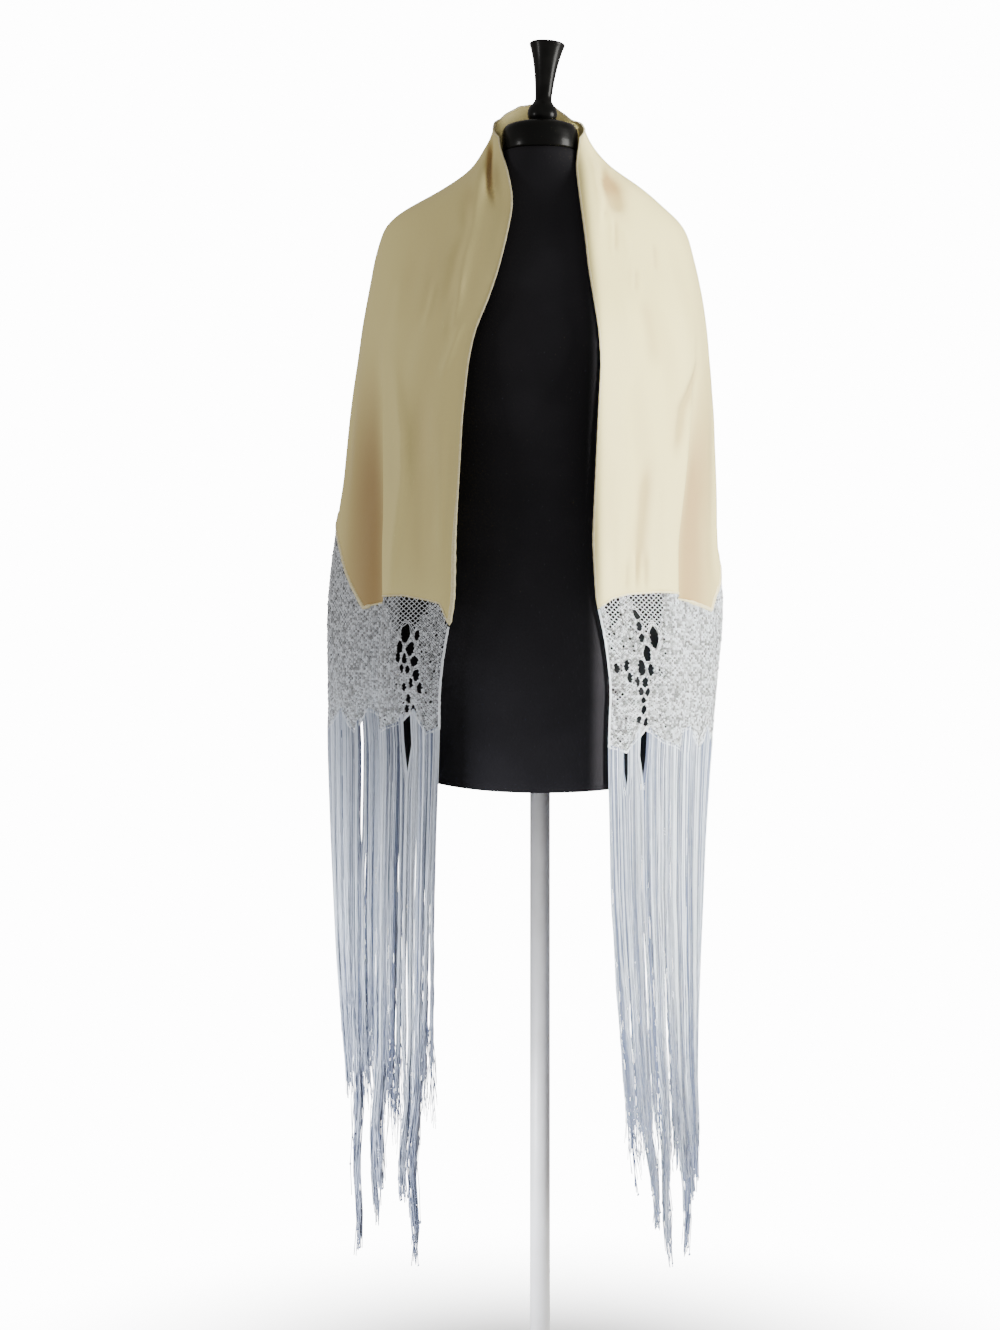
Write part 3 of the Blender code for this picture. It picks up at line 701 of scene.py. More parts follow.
@dataclass(frozen=True)
class JerseyFinish(Finish):
    """Black fine jersey stretched over the form."""

    name: str = "black_jersey"
    black: Point = (0.0190, 0.0183, 0.0218)
    worn: Point = (0.0250, 0.0242, 0.0290)

    def material(self) -> bpy.types.Material:
        """Build the material."""
        made, bench, shader, place = self.start(
            Sheen_Weight=0.0, Roughness=0.85, Specular_IOR_Level=0.10
        )
        cloudy = bench.noise(place, 9.0, 3.0)
        ribs = bench.noise(bench.stretched(place, (1.0, 1.0, 0.2)), 900.0, 1.0)
        colour = bench.tinted(cloudy, 0.4, 0.7, self.black, self.worn)
        self.link(bench, shader, Base_Color=colour, Normal=self.bumped(bench, ribs, 0.0003, 0.5))
        return made


@dataclass(frozen=True)
class LacquerFinish(Finish):
    """Glossy black lacquer on turned wood."""

    name: str = "black_lacquer"
    black: Point = (0.0060, 0.0060, 0.0058)
    dust: Point = (0.012, 0.012, 0.0115)

    def material(self) -> bpy.types.Material:
        """Build the material."""
        made, bench, shader, place = self.start(
            Coat_Weight=0.06, Coat_Roughness=0.12, Specular_IOR_Level=0.10
        )
        cloudy = bench.noise(place, 35.0, 3.0)
        rings = bench.noise(bench.stretched(place, (0.4, 0.4, 6.0)), 60.0, 2.0)
        colour = bench.tinted(cloudy, 0.45, 0.7, self.black, self.dust)
        self.link(
            bench, shader, Base_Color=colour, Roughness=cloudy * 0.15 + 0.22,
            Normal=self.bumped(bench, rings, 0.0002, 0.35),
        )
        return made


@dataclass(frozen=True)
class PaintFinish(Finish):
    """White powder coat on the pole and the foot, with a faint orange peel."""

    name: str = "white_paint"
    white: Point = (0.90, 0.90, 0.91)
    dull: Point = (0.82, 0.82, 0.82)

    def material(self) -> bpy.types.Material:
        """Build the material."""
        made, bench, shader, place = self.start(Metallic=0.0)
        peel = bench.noise(place, 420.0, 2.0)
        cloudy = bench.noise(place, 14.0, 2.0)
        colour = bench.tinted(cloudy, 0.35, 0.7, self.white, self.dull)
        self.link(
            bench, shader, Base_Color=colour, Roughness=cloudy * 0.2 + 0.28,
            Normal=self.bumped(bench, peel, 0.0001, 0.3),
        )
        return made


@dataclass(frozen=True)
class FloorFinish(Finish):
    """Matt pale floor that fades out into the white room."""

    name: str = "pale_floor"
    pale: Point = (0.88, 0.88, 0.88)
    fade_from: float = 0.12
    fade_to: float = 0.85

    def material(self) -> bpy.types.Material:
        """Build the material."""
        made, bench, shader, place = self.start(Roughness=0.9, Specular_IOR_Level=0.1)
        cloudy = bench.noise(place, 1.5, 2.0)
        darker = tuple(0.97 * part for part in self.pale)
        self.link(bench, shader, Base_Color=bench.mixed(cloudy, rgba(self.pale), rgba(darker)))
        away = bench.node("ShaderNodeVectorMath", {"operation": "LENGTH"}, {0: place})
        clear = bench.out(bench.node("ShaderNodeBsdfTransparent"))
        part = bench.risen(bench.out(away, "Value"), self.fade_from, self.fade_to)
        faded = bench.node(
            "ShaderNodeMixShader", {}, {0: part, 1: bench.out(shader), 2: clear}
        )
        output = bench.tree.nodes["Material Output"]
        bench.tree.links.new(faded.outputs[0], output.inputs["Surface"])
        return made


# Geometry trees


# What each point of a plan says: whether it has a knot, the knot's turn and size, the cord's tone
# from dark to light, and its thickness.
PLAN_KINDS = {
    "knot": "BOOLEAN",
    "turn": "FLOAT_VECTOR",
    "size": "FLOAT_VECTOR",
    "tone": "FLOAT",
    "thick": "FLOAT",
}


@dataclass
class GeometryTree:
    """A node tree that turns a plan of points and edges into cords and knots."""

    name: str
    sizes: dict[str, float | int]

    def __post_init__(self) -> None:
        """Make the empty tree with its named inputs."""
        self.tree = bpy.data.node_groups.new(self.name, "GeometryNodeTree")
        face = self.tree.interface
        face.new_socket("Geometry", in_out="INPUT", socket_type="NodeSocketGeometry")
        self.sockets: dict[str, str] = {}
        for key, value in self.sizes.items():
            kind = "NodeSocketInt" if isinstance(value, int) else "NodeSocketFloat"
            made = face.new_socket(key, in_out="INPUT", socket_type=kind)
            self.sockets[key] = made.identifier
        made = face.new_socket("Finish", in_out="INPUT", socket_type="NodeSocketMaterial")
        self.sockets["Finish"] = made.identifier
        face.new_socket("Geometry", in_out="OUTPUT", socket_type="NodeSocketGeometry")
        self.bench = Bench(self.tree)
        self.entry = self.bench.node("NodeGroupInput")

    def given(self, name: str) -> Value:
        """One of the tree's inputs."""
        return self.bench.out(self.entry, name)

    def attribute(self, name: str, kind: str = "FLOAT") -> Value:
        """A named attribute of the plan."""
        settings = {"data_type": kind}
        return self.bench.out(self.bench.node("GeometryNodeInputNamedAttribute", settings, {"Name": name}))

    def cords(self) -> Value:
        """Tubes along the plan's edges."""
        bench = self.bench
        lines = bench.node("GeometryNodeMeshToCurve", {}, {"Mesh": self.given("Geometry")})
        ring = bench.node(
            "GeometryNodeCurvePrimitiveCircle", {},
            {"Resolution": self.given("Cord sides"), "Radius": self.given("Cord radius")},
        )
        tube = bench.node(
            "GeometryNodeCurveToMesh", {},
            {"Curve": bench.out(lines), "Profile Curve": bench.out(ring), "Scale": self.attribute("thick")},
        )
        return bench.out(tube)

    def knots(self) -> Value:
        """A small grain at each point of the plan that has a knot."""
        bench = self.bench
        grain = bench.node(
            "GeometryNodeMeshIcoSphere", {}, {"Radius": self.given("Knot radius"), "Subdivisions": 1}
        )
        turn = bench.node("FunctionNodeEulerToRotation", {}, {0: self.attribute("turn", "FLOAT_VECTOR")})
        placed = bench.node(
            "GeometryNodeInstanceOnPoints", {},
            {
                "Points": self.given("Geometry"), "Selection": self.attribute("knot", "BOOLEAN"),
                "Instance": bench.out(grain), "Rotation": bench.out(turn),
                "Scale": self.attribute("size", "FLOAT_VECTOR"),
            },
        )
        return bench.out(placed)

    def finish(self, *parts: Value) -> None:
        """Join the parts, realize them, smooth them and set the finish."""
        bench = self.bench
        joined = bench.node("GeometryNodeJoinGeometry")
        for part in parts:
            bench.tree.links.new(part.socket, joined.inputs[0])
        real = bench.node("GeometryNodeRealizeInstances", {}, {"Geometry": bench.out(joined)})
        smooth = bench.node("GeometryNodeSetShadeSmooth", {}, {"Geometry": bench.out(real)})
        dressed = bench.node(
            "GeometryNodeSetMaterial", {},
            {"Geometry": bench.out(smooth), "Material": self.given("Finish")},
        )
        bench.node("NodeGroupOutput", {}, {"Geometry": bench.out(dressed)})

    def run_on(self, piece: bpy.types.Object, finish: bpy.types.Material) -> None:
        """Run the tree on a plan and keep the plain mesh.

        Args:
            piece: The plan's object.
            finish: The material of the result.
        """
        modifier = piece.modifiers.new(self.name, "NODES")
        modifier.node_group = self.tree
        for key, value in self.sizes.items():
            modifier[self.sockets[key]] = value
        modifier[self.sockets["Finish"]] = finish
        settle(piece)


def settle(piece: bpy.types.Object) -> None:
    """Keep the evaluated mesh of a piece and drop its modifiers."""
    bpy.context.view_layer.update()
    graph = bpy.context.evaluated_depsgraph_get()
    mesh = bpy.data.meshes.new_from_object(
        piece.evaluated_get(graph), preserve_all_data_layers=True, depsgraph=graph
    )
    piece.modifiers.clear()
    piece.data = mesh
    mesh.name = piece.name


def thicken(piece: bpy.types.Object, thickness: float) -> None:
    """Give a sheet its wall, half of it to each side."""
    wall = piece.modifiers.new("wall", "SOLIDIFY")
    wall.thickness = thickness
    wall.offset = 0.0
    settle(piece)


def new_piece(
    name: str,
    points: np.ndarray,
    faces: Sequence[Sequence[int]],
    finish: bpy.types.Material | None,
    edges: Sequence[Sequence[int]] = (),
) -> bpy.types.Object:
    """A mesh object at the origin.

    Args:
        name: The piece's name.
        points: Its points.
        faces: Its faces.
        finish: Its material, if it is set here.
        edges: Its loose edges.

    Returns:
        The object, linked to the scene.
    """
    mesh = bpy.data.meshes.new(name)
    mesh.from_pydata(np.asarray(points).tolist(), list(map(tuple, edges)), list(map(tuple, faces)))
    mesh.update()
    if len(mesh.polygons):
        mesh.shade_smooth()
    if finish is not None:
        mesh.materials.append(finish)
    made = bpy.data.objects.new(name, mesh)
    bpy.context.scene.collection.objects.link(made)
    return made


def give(piece: bpy.types.Object, name: str, kind: str, values: np.ndarray) -> None:
    """Store one value for each point of a plan."""
    layer = piece.data.attributes.new(name, kind, "POINT")
    key = "vector" if kind == "FLOAT_VECTOR" else "value"
    layer.data.foreach_set(key, np.ascontiguousarray(values).ravel())


def work_cords(
    plan: bpy.types.Object, tree: GeometryTree, finish: bpy.types.Material, **values: np.ndarray
) -> None:
    """Turn a plan into cords and knots.

    Args:
        plan: Points and edges.
        tree: The tree that draws them, still empty.
        finish: The material of the result.
        values: What the plan's points say, by name as in PLAN_KINDS.
    """
    for name, kind in PLAN_KINDS.items():
        give(plan, name, kind, values[name])
    tree.finish(tree.cords(), tree.knots())
    tree.run_on(plan, finish)


def capped_rings(
    rings: np.ndarray, foot: Sequence[float], head: Sequence[float]
) -> tuple[np.ndarray, list[list[int]]]:
    """Skin of rings stacked from the bottom up, closed to a middle point at each end.

    Args:
        rings: Points, by ring and place round it.
        foot: Middle point of the lower end.
        head: Middle point of the upper end.

    Returns:
        Points and faces.
    """
    count, sides = rings.shape[:2]
    last = (count - 1) * sides
    faces = []
    for k in range(sides):
        after = (k + 1) % sides
        for base in range(0, last, sides):
            faces.append([base + k, base + after, base + sides + after, base + sides + k])
        faces.append([after, k, count * sides])
        faces.append([last + k, last + after, count * sides + 1])
    return np.concatenate((rings.reshape(-1, 3), (foot, head))), faces


def grid_faces(columns: int, rows: int) -> list[tuple[int, int, int, int]]:
    """Faces of a grid stored column by column."""
    corners = (np.arange(columns - 1)[:, None] * rows + np.arange(rows - 1)[None, :]).ravel()
    return np.stack((corners, corners + rows, corners + rows + 1, corners + 1), axis=1).tolist()


def tube(path: np.ndarray, radii: np.ndarray, sides: int) -> tuple[np.ndarray, list[list[int]]]:
    """A closed tube along a path.

    Args:
        path: Points of the middle line.
        radii: Radius at each of them.
        sides: Number of sides.

    Returns:
        Points and faces.
    """
    along = np.gradient(path, axis=0)
    along /= np.linalg.norm(along, axis=1, keepdims=True)
    guide = np.array((0.0, 1.0, 0.0)) if abs(along[0, 1]) < 0.8 else np.array((1.0, 0.0, 0.0))
    rings = []
    for point, way, radius in zip(path, along, radii):
        guide = guide - way * np.dot(guide, way)
        guide /= np.linalg.norm(guide)
        other = np.cross(way, guide)
        turn = np.linspace(0.0, 2.0 * math.pi, sides, endpoint=False)[:, None]
        rings.append(point + radius * (np.cos(turn) * guide + np.sin(turn) * other))
    count = len(path)
    faces = [
        [r * sides + k, r * sides + (k + 1) % sides, (r + 1) * sides + (k + 1) % sides, (r + 1) * sides + k]
        for r in range(count - 1) for k in range(sides)
    ]
    faces.append(list(range(sides - 1, -1, -1)))
    faces.append([(count - 1) * sides + k for k in range(sides)])
    return np.concatenate(rings), faces


# The shawl


# The creases that show, listed from the collar down: half width, how far it stands out,
# and its path from the top down, as distance from the middle and height.
CREASES: dict[Side, tuple[tuple[float, float, Rows], ...]] = {
    Side.LEFT: (
        # left collar: ridge that runs down to the chest, the pocket beside it and the proud edge
        (0.008, 0.0034, ((0.074, 1.505), (0.08, 1.455), (0.09, 1.405), (0.0985, 1.36), (0.104, 1.31))),
        (0.004, -0.0064, ((0.059, 1.556), (0.0622, 1.532), (0.0642, 1.502), (0.0635, 1.48), (0.056, 1.458))),
        (0.0085, 0.0036, ((0.05, 1.56), (0.04, 1.50), (0.0355, 1.465), (0.043, 1.41), (0.05, 1.375))),
        (0.008, -0.0022, ((0.0957, 1.47), (0.0884, 1.425), (0.103, 1.39), (0.1105, 1.352), (0.1178, 1.322))),
        # left chest: fans below the shoulder
        (0.0034, 0.0015, ((0.1292, 1.356), (0.14, 1.304))),
        (0.005, -0.0009, ((0.1328, 1.376), (0.144, 1.312))),
        (0.0034, 0.0016, ((0.094, 1.368), (0.1068, 1.304))),
        (0.005, -0.0012, ((0.1004, 1.345), (0.1136, 1.283))),
        (0.0046, 0.002, ((0.0944, 1.306), (0.1076, 1.273), (0.119, 1.244))),
        (0.012, -0.001, ((0.15, 1.395), (0.16, 1.33))),
        (0.008, 0.0014, ((0.172, 1.37), (0.179, 1.30))),
        # left panel: the long ridge by the fold and the hollow beside it
        (0.008, 0.004, ((0.1772, 1.262), (0.1676, 1.173), (0.1676, 1.119), (0.177, 1.043), (0.183, 0.984))),
        (0.014, -0.0026, ((0.148, 1.23), (0.144, 1.12), (0.148, 0.985))),
        (0.007, 0.0012, ((0.12, 1.18), (0.121, 1.02))),
    ),
    Side.RIGHT: (
        # right collar: band's ridge and the hollow beyond it
        (0.0044, 0.004, ((0.058, 1.535), (0.0684, 1.505), (0.0724, 1.463), (0.0712, 1.412))),
        (0.01, -0.0056, ((0.08, 1.502), (0.09, 1.475), (0.096, 1.448))),
        # right chest: small puckers
        (0.003, 0.0018, ((0.0866, 1.44), (0.086, 1.394))),
        (0.0032, -0.002, ((0.091, 1.438), (0.0906, 1.396))),
        (0.003, 0.0018, ((0.1108, 1.376), (0.1096, 1.349))),
        (0.0032, -0.002, ((0.115, 1.375), (0.1136, 1.346))),
        (0.0036, -0.0018, ((0.1384, 1.41), (0.1408, 1.372))),
        (0.004, -0.002, ((0.078, 1.455), (0.07, 1.425))),
        (0.0036, 0.0016, ((0.101, 1.425), (0.106, 1.392))),
        (0.009, 0.0024, ((0.095, 1.35), (0.108, 1.24))),
        (0.01, -0.002, ((0.122, 1.34), (0.136, 1.25))),
        # right panel: the soft crease into the fold, the long hollow and the gathers over the hem
        (0.007, -0.0042, ((0.1908, 1.262), (0.1715, 1.207), (0.164, 1.15))),
        (0.008, -0.0038, ((0.1276, 1.135), (0.1223, 1.093), (0.1192, 0.99))),
        (0.008, 0.0026, ((0.1516, 1.14), (0.15, 0.985))),
        (0.0065, 0.002, ((0.096, 1.12), (0.094, 0.99))),
        (0.0026, 0.0016, ((0.11, 1.032), (0.1084, 0.984))),
        (0.0026, -0.002, ((0.1152, 1.036), (0.114, 0.984))),
        (0.0026, 0.0016, ((0.1204, 1.034), (0.1196, 0.984))),
        (0.0026, -0.0016, ((0.1262, 1.026), (0.1256, 0.984))),
        (0.0028, -0.0014, ((0.103, 1.02), (0.102, 0.984))),
        (0.0026, -0.0014, ((0.152, 1.014), (0.1515, 0.984))),
    ),
}

# Creases of the sides and the back: share and height of the upper end, share and height of
# the lower end, half width, how far it stands out.
HIDDEN_CREASES: dict[Side, Rows] = {
    Side.LEFT: (
        (0.46, 1.380, 0.44, 1.060, 0.0090, 0.0020),
        (0.53, 1.330, 0.55, 1.120, 0.0080, -0.0022),
        (0.64, 1.400, 0.66, 1.180, 0.0110, 0.0026),
        (0.75, 1.440, 0.73, 1.140, 0.0100, -0.0024),
        (0.84, 1.350, 0.86, 1.150, 0.0080, 0.0022),
    ),
    Side.RIGHT: (
        (0.44, 1.330, 0.46, 1.020, 0.0080, 0.0020),
        (0.55, 1.400, 0.52, 1.100, 0.0100, -0.0024),
        (0.67, 1.360, 0.65, 1.140, 0.0090, 0.0024),
        (0.78, 1.420, 0.80, 1.160, 0.0110, -0.0026),
        (0.87, 1.300, 0.88, 1.150, 0.0070, 0.0018),
    ),
}


# Painted shade round the collar, where the cloth's own folds would shade it: distance from the middle,
# height, half width, half height, amount.
PAINTED_SHADES: dict[Side, Rows] = {
    Side.LEFT: (
        (0.0632, 1.512, 0.0034, 0.0290, 1.60),
        (0.0560, 1.492, 0.0080, 0.0320, 0.25),
        (0.0870, 1.468, 0.0090, 0.0180, 0.20),
        (0.0400, 1.440, 0.0080, 0.0450, 0.15),
    ),
    Side.RIGHT: (
        (0.0930, 1.484, 0.0190, 0.0150, 0.40),
        (0.0800, 1.498, 0.0050, 0.0180, 0.55),
    ),
}


@dataclass
class ShawlCloth:
    """The crepe: a thin shell on the hanging surface, with its listed creases."""

    drapes: dict[Side, Drape]
    finish: bpy.types.Material
    thickness: float = 0.0010
    panel_columns: int = 44
    turn_columns: int = 30
    side_columns: int = 28
    back_columns: int = 34
    rows: int = 128
    unevenness: float = 0.0005
    flat: tuple[float, float] = (1.48, 0.46)
    # Trough depths on the left and on the right that get full painted shade in the crease troughs.
    shade_depth: tuple[float, float] = (0.026, 0.0055)
    column_stops: tuple[float, ...] = (0.0, 0.20, 0.34, 0.58, 1.0)
    crease_start: tuple[float, float] = (-0.10, 0.25)
    crease_end: tuple[float, float] = (0.72, 1.10)
    smooth_above: tuple[float, float] = (1.36, 1.44)
    # Painted shade along the long fold: its share, its widths before and after it, the heights where it
    # fades in, and how far back the collar's painted shade reaches.
    fold_share: float = 0.335
    fold_shade_widths: tuple[float, float] = (0.030, 0.085)
    fold_shade_rise: tuple[float, float] = (1.10, 1.32)
    front_to: float = 0.01
    # Most painted shade that a crease trough gets.
    most_held: float = 0.6

    def shares(self) -> np.ndarray:
        """Shares of the columns on one half."""
        stops = self.column_stops
        counts = (self.panel_columns, self.turn_columns, self.side_columns, self.back_columns)
        parts = [np.linspace(a, b, n, endpoint=False) for a, b, n in zip(stops, stops[1:], counts)]
        return np.concatenate(parts + [np.array((1.0,))])

    def _paths(self, side: Side) -> list[tuple[np.ndarray, float, float]]:
        """Paths of one half's creases as run and height, with their half widths and stands."""
        drape = self.drapes[side]
        found = []
        for half_width, size, line in CREASES[side]:
            path = [(drape.run_across(x, z, drape.side_share), z) for x, z in line]
            found.append((np.array(path), half_width, size))
        for top_share, top, foot_share, foot, half_width, size in HIDDEN_CREASES[side]:
            ends = ((top_share, top), (foot_share, foot))
            path = [(float(drape.run(np.array(share), np.array(z))), z) for share, z in ends]
            found.append((np.array(path), half_width, size))
        return found

    def stand(self, side: Side, shares: np.ndarray, heights: np.ndarray) -> np.ndarray:
        """How far the creases stand out.

        Args:
            side: Which half.
            shares: Shares of the way round.
            heights: Heights.

        Returns:
            Distance out from the hanging surface.
        """
        run = self.drapes[side].run(shares, heights)
        heights = np.broadcast_to(heights, run.shape)
        total = np.zeros_like(run)
        for path, half_width, size in self._paths(side):
            lengths = np.hypot(*np.diff(path, axis=0).T)
            nearest, along = np.full(run.shape, 9.0), np.zeros_like(run)
            for k, length in enumerate(lengths):
                line = path[k + 1] - path[k]
                part = ((run - path[k, 0]) * line[0] + (heights - path[k, 1]) * line[1]) / length**2
                part = np.clip(part, 0.0, 1.0)
                away = np.hypot(run - path[k, 0] - part * line[0], heights - path[k, 1] - part * line[1])
                closer = away < nearest
                nearest = np.where(closer, away, nearest)
                along = np.where(closer, lengths[:k].sum() + part * length, along)
            along = along / lengths.sum()
            full, gone = self.crease_end
            window = smooth_rise(along, *self.crease_start) * smooth_rise(-along, -gone, -full)
            total += size * window * np.exp(-(nearest / half_width) ** 2)
        wavy = np.sin(61 * run + 9 * heights) * np.sin(23 * heights + 31 * run + 1.3)
        wavy = wavy + 0.6 * np.sin(148 * run + 17 * heights + 2.0)
        easing = 1.0 - smooth_rise(heights, *self.smooth_above)
        return total + self.unevenness * wavy * easing

    def shaded(self, shares: np.ndarray, points: np.ndarray) -> np.ndarray:
        """How much painted shade each point gets in the long fold and round the collar.

        Args:
            shares: Shares of the way round.
            points: Places of the points.

        Returns:
            A part from 0 to 1 for each point.
        """
        heights = points[:, 2]
        width = np.where(shares < self.fold_share, *self.fold_shade_widths)
        beside = np.exp(-((shares - self.fold_share) / width) ** 2)
        full, gone = self.fold_shade_rise
        total = beside * smooth_rise(-heights, -gone, -full)
        on_front = points[:, 1] < self.front_to
        for side, spots in PAINTED_SHADES.items():
            for across, level, half_width, half_height, amount in spots:
                u = (side.value * points[:, 0] - across) / half_width
                v = (heights - level) / half_height
                total = total + amount * np.exp(-u * u - v * v) * on_front
        return np.clip(total, 0.0, 1.0)

    def surface(self, side: Side, shares: np.ndarray, heights: np.ndarray) -> np.ndarray:
        """Places on the creased cloth."""
        drape = self.drapes[side]
        out = drape.outward(shares, heights)
        return drape.at(shares, heights) + out * self.stand(side, shares, heights)[..., None]

    def _half(self, side: Side) -> tuple[np.ndarray, np.ndarray]:
        """Grid of one half, column by column, and how much painted shade each of its troughs gets."""
        shares = self.shares()
        top, hem = read(COLLAR, shares, 1), hem_height(side, shares)
        parts = np.linspace(0.0, 1.0, self.rows)
        heights = top[:, None] + (hem - top)[:, None] * parts[None, :]
        spread = np.broadcast_to(shares[:, None], heights.shape)
        stand = self.stand(side, spread, heights)
        held = np.clip(-stand / self.shade_depth[side is Side.RIGHT], 0.0, self.most_held)
        return self.surface(side, spread, heights), held

    def build(self) -> bpy.types.Object:
        """Make the cloth."""
        (left, left_held), (right, right_held) = self._half(Side.LEFT), self._half(Side.RIGHT)
        middle = 0.5 * (left[-1] + right[-1])
        middle[:, 0] = 0.0
        held = np.concatenate((left_held, right_held[-2::-1]))
        grid = np.concatenate((left[:-1], middle[None], right[-2::-1]))
        columns, rows = grid.shape[:2]
        piece = new_piece("silk_shawl", grid.reshape(-1, 3), grid_faces(columns, rows), self.finish)
        shares = self.shares()
        shares = np.concatenate((shares, shares[-2::-1]))
        # Painted shade: the long fold, the collar's spots and the crease troughs darken the crepe's colour.
        deep = self.shaded(np.repeat(shares, rows), grid.reshape(-1, 3)) + held.reshape(-1)
        give(piece, "deep", "FLOAT", np.clip(deep, 0.0, 1.0))
        thicken(piece, self.thickness)
        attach(piece, "root")
        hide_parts("shawl_cloth")
        return piece


@dataclass
class RolledHem:
    """The narrow rolled hem along the opening, the collar and the foot of the cloth."""

    cloth: ShawlCloth
    finish: bpy.types.Material
    radius: float = 0.0013
    wide_radius: float = 0.0030
    wide_from: float = 1.12
    wide_to: float = 1.02
    sides: int = 8
    step: float = 0.004
    collar_points: int = 60
    foot_points: int = 200
    doubled: tuple[int, int] = (-131, -82)
    doubled_extra: float = 0.0012
    swell: float = 0.10
    swell_turn: float = 1.7

    def _edge(self, side: Side) -> np.ndarray:
        """Middle line from the back middle of the collar, down the opening and round the foot."""
        shares = np.linspace(1.0, 0.0, self.collar_points)
        collar = self.cloth.surface(side, shares, read(COLLAR, shares, 1))
        top, foot = COLLAR[0, 1], hem_height(side, np.array((0.0,)))[0]
        heights = np.linspace(top, foot, int((top - foot) / self.step))
        opening = self.cloth.surface(side, np.zeros_like(heights), heights)
        shares = np.linspace(0.0, 1.0, self.foot_points)
        hem = self.cloth.surface(side, shares, hem_height(side, shares))
        return np.concatenate((collar[:-1], opening, hem[1:]))

    def build(self) -> list[bpy.types.Object]:
        """Make one hem for each half."""
        made = []
        for side in Side:
            path = self._edge(side)
            order = np.arange(len(path))
            swell = 1.0 + self.swell * np.sin(order * self.swell_turn)
            radii = np.full(len(path), self.radius)
            if side is Side.LEFT:
                low = smooth_rise(-path[:, 2], -self.wide_from, -self.wide_to)
                on_opening = (order > self.collar_points - 2) & (order < len(path) - self.foot_points)
                radii += (self.wide_radius - self.radius) * low * on_opening
            radii[slice(*self.doubled)] += self.doubled_extra
            points, faces = tube(path, radii * swell, self.sides)
            piece = new_piece(f"rolled_hem_{side.word}", points, faces, self.finish)
            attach(piece, "root")
            made.append(piece)
        return made


# Larger openings of the lace: distance from the middle, height, half width, half height.
OPENINGS_IN_LACE: dict[Side, Rows] = {
    Side.LEFT: (
        (0.1689, 0.8918, 0.0014, 0.0046),
        (0.1620, 0.8897, 0.0014, 0.0042),
        (0.1586, 0.8739, 0.0014, 0.0052),
        (0.1484, 0.8669, 0.0018, 0.0062),
        (0.1484, 0.9304, 0.0018, 0.0048),
        (0.1676, 0.8686, 0.0014, 0.0042),
        (0.1630, 0.8546, 0.0015, 0.0048),
        (0.1656, 0.8425, 0.0017, 0.0038),
        (0.1568, 0.8410, 0.0020, 0.0048),
        (0.1726, 0.9048, 0.0018, 0.0064),
        (0.1652, 0.9028, 0.0018, 0.0058),
        (0.1537, 0.8998, 0.0036, 0.0050),
        (0.1520, 0.8830, 0.0028, 0.0062),
        (0.1693, 0.9173, 0.0024, 0.0070),
        (0.1575, 0.9148, 0.0032, 0.0070),
        (0.1614, 0.9328, 0.0042, 0.0096),
    ),
    Side.RIGHT: (
        (0.0897, 0.8906, 0.0018, 0.0050),
        (0.1020, 0.8943, 0.0018, 0.0056),
        (0.1060, 0.8796, 0.0018, 0.0052),
        (0.1166, 0.8746, 0.0014, 0.0050),
        (0.1115, 0.9550, 0.0018, 0.0050),
        (0.1161, 0.9412, 0.0019, 0.0050),
        (0.1194, 0.9277, 0.0019, 0.0048),
        (0.1192, 0.8295, 0.0017, 0.0040),
        (0.1282, 0.8266, 0.0017, 0.0044),
        (0.1242, 0.8526, 0.0018, 0.0036),
        (0.1252, 0.8412, 0.0020, 0.0042),
        (0.1209, 0.8630, 0.0018, 0.0046),
        (0.1293, 0.8626, 0.0016, 0.0044),
        (0.1252, 0.8746, 0.0026, 0.0050),
        (0.1314, 0.8895, 0.0020, 0.0064),
        (0.1209, 0.8914, 0.0030, 0.0090),
        (0.1263, 0.9082, 0.0031, 0.0094),
        (0.1342, 0.9281, 0.0034, 0.0122),
    ),
}

# Where the lattice stays an open net under the hem: distance from the middle,
# half width at the hem, depth below the hem.
NETS: dict[Side, Rows] = {
    Side.LEFT: (
        (0.1614, 0.0290, 0.044),
    ),
    Side.RIGHT: (
        (0.1280, 0.0230, 0.046),
        (0.0860, 0.0100, 0.030),
    ),
}

# The zigzag foot of the lace: share, rise above its lowest points.
ZIGZAG = np.array((
    (0.000, 0.006), (0.067, 0.000), (0.133, 0.028), (0.247, 0.000), (0.340, 0.028), (0.374, 0.000),
    (0.409, 0.028), (0.477, 0.000), (0.511, 0.028), (0.580, 0.000),
))


@dataclass
class Lattice:
    """A border's grid of places, columns from the opening edge and rows from the foot up."""

    run: np.ndarray
    heights: np.ndarray
    share: np.ndarray
    there: np.ndarray
    netted: np.ndarray
    place: np.ndarray
    out: np.ndarray

    @property
    def column(self) -> np.ndarray:
        """Number of each place's column."""
        return np.indices(self.run.shape)[0]

    @property
    def even(self) -> np.ndarray:
        """Where cords cross, as on the black squares of a chessboard."""
        return np.indices(self.run.shape).sum(axis=0) % 2 == 0


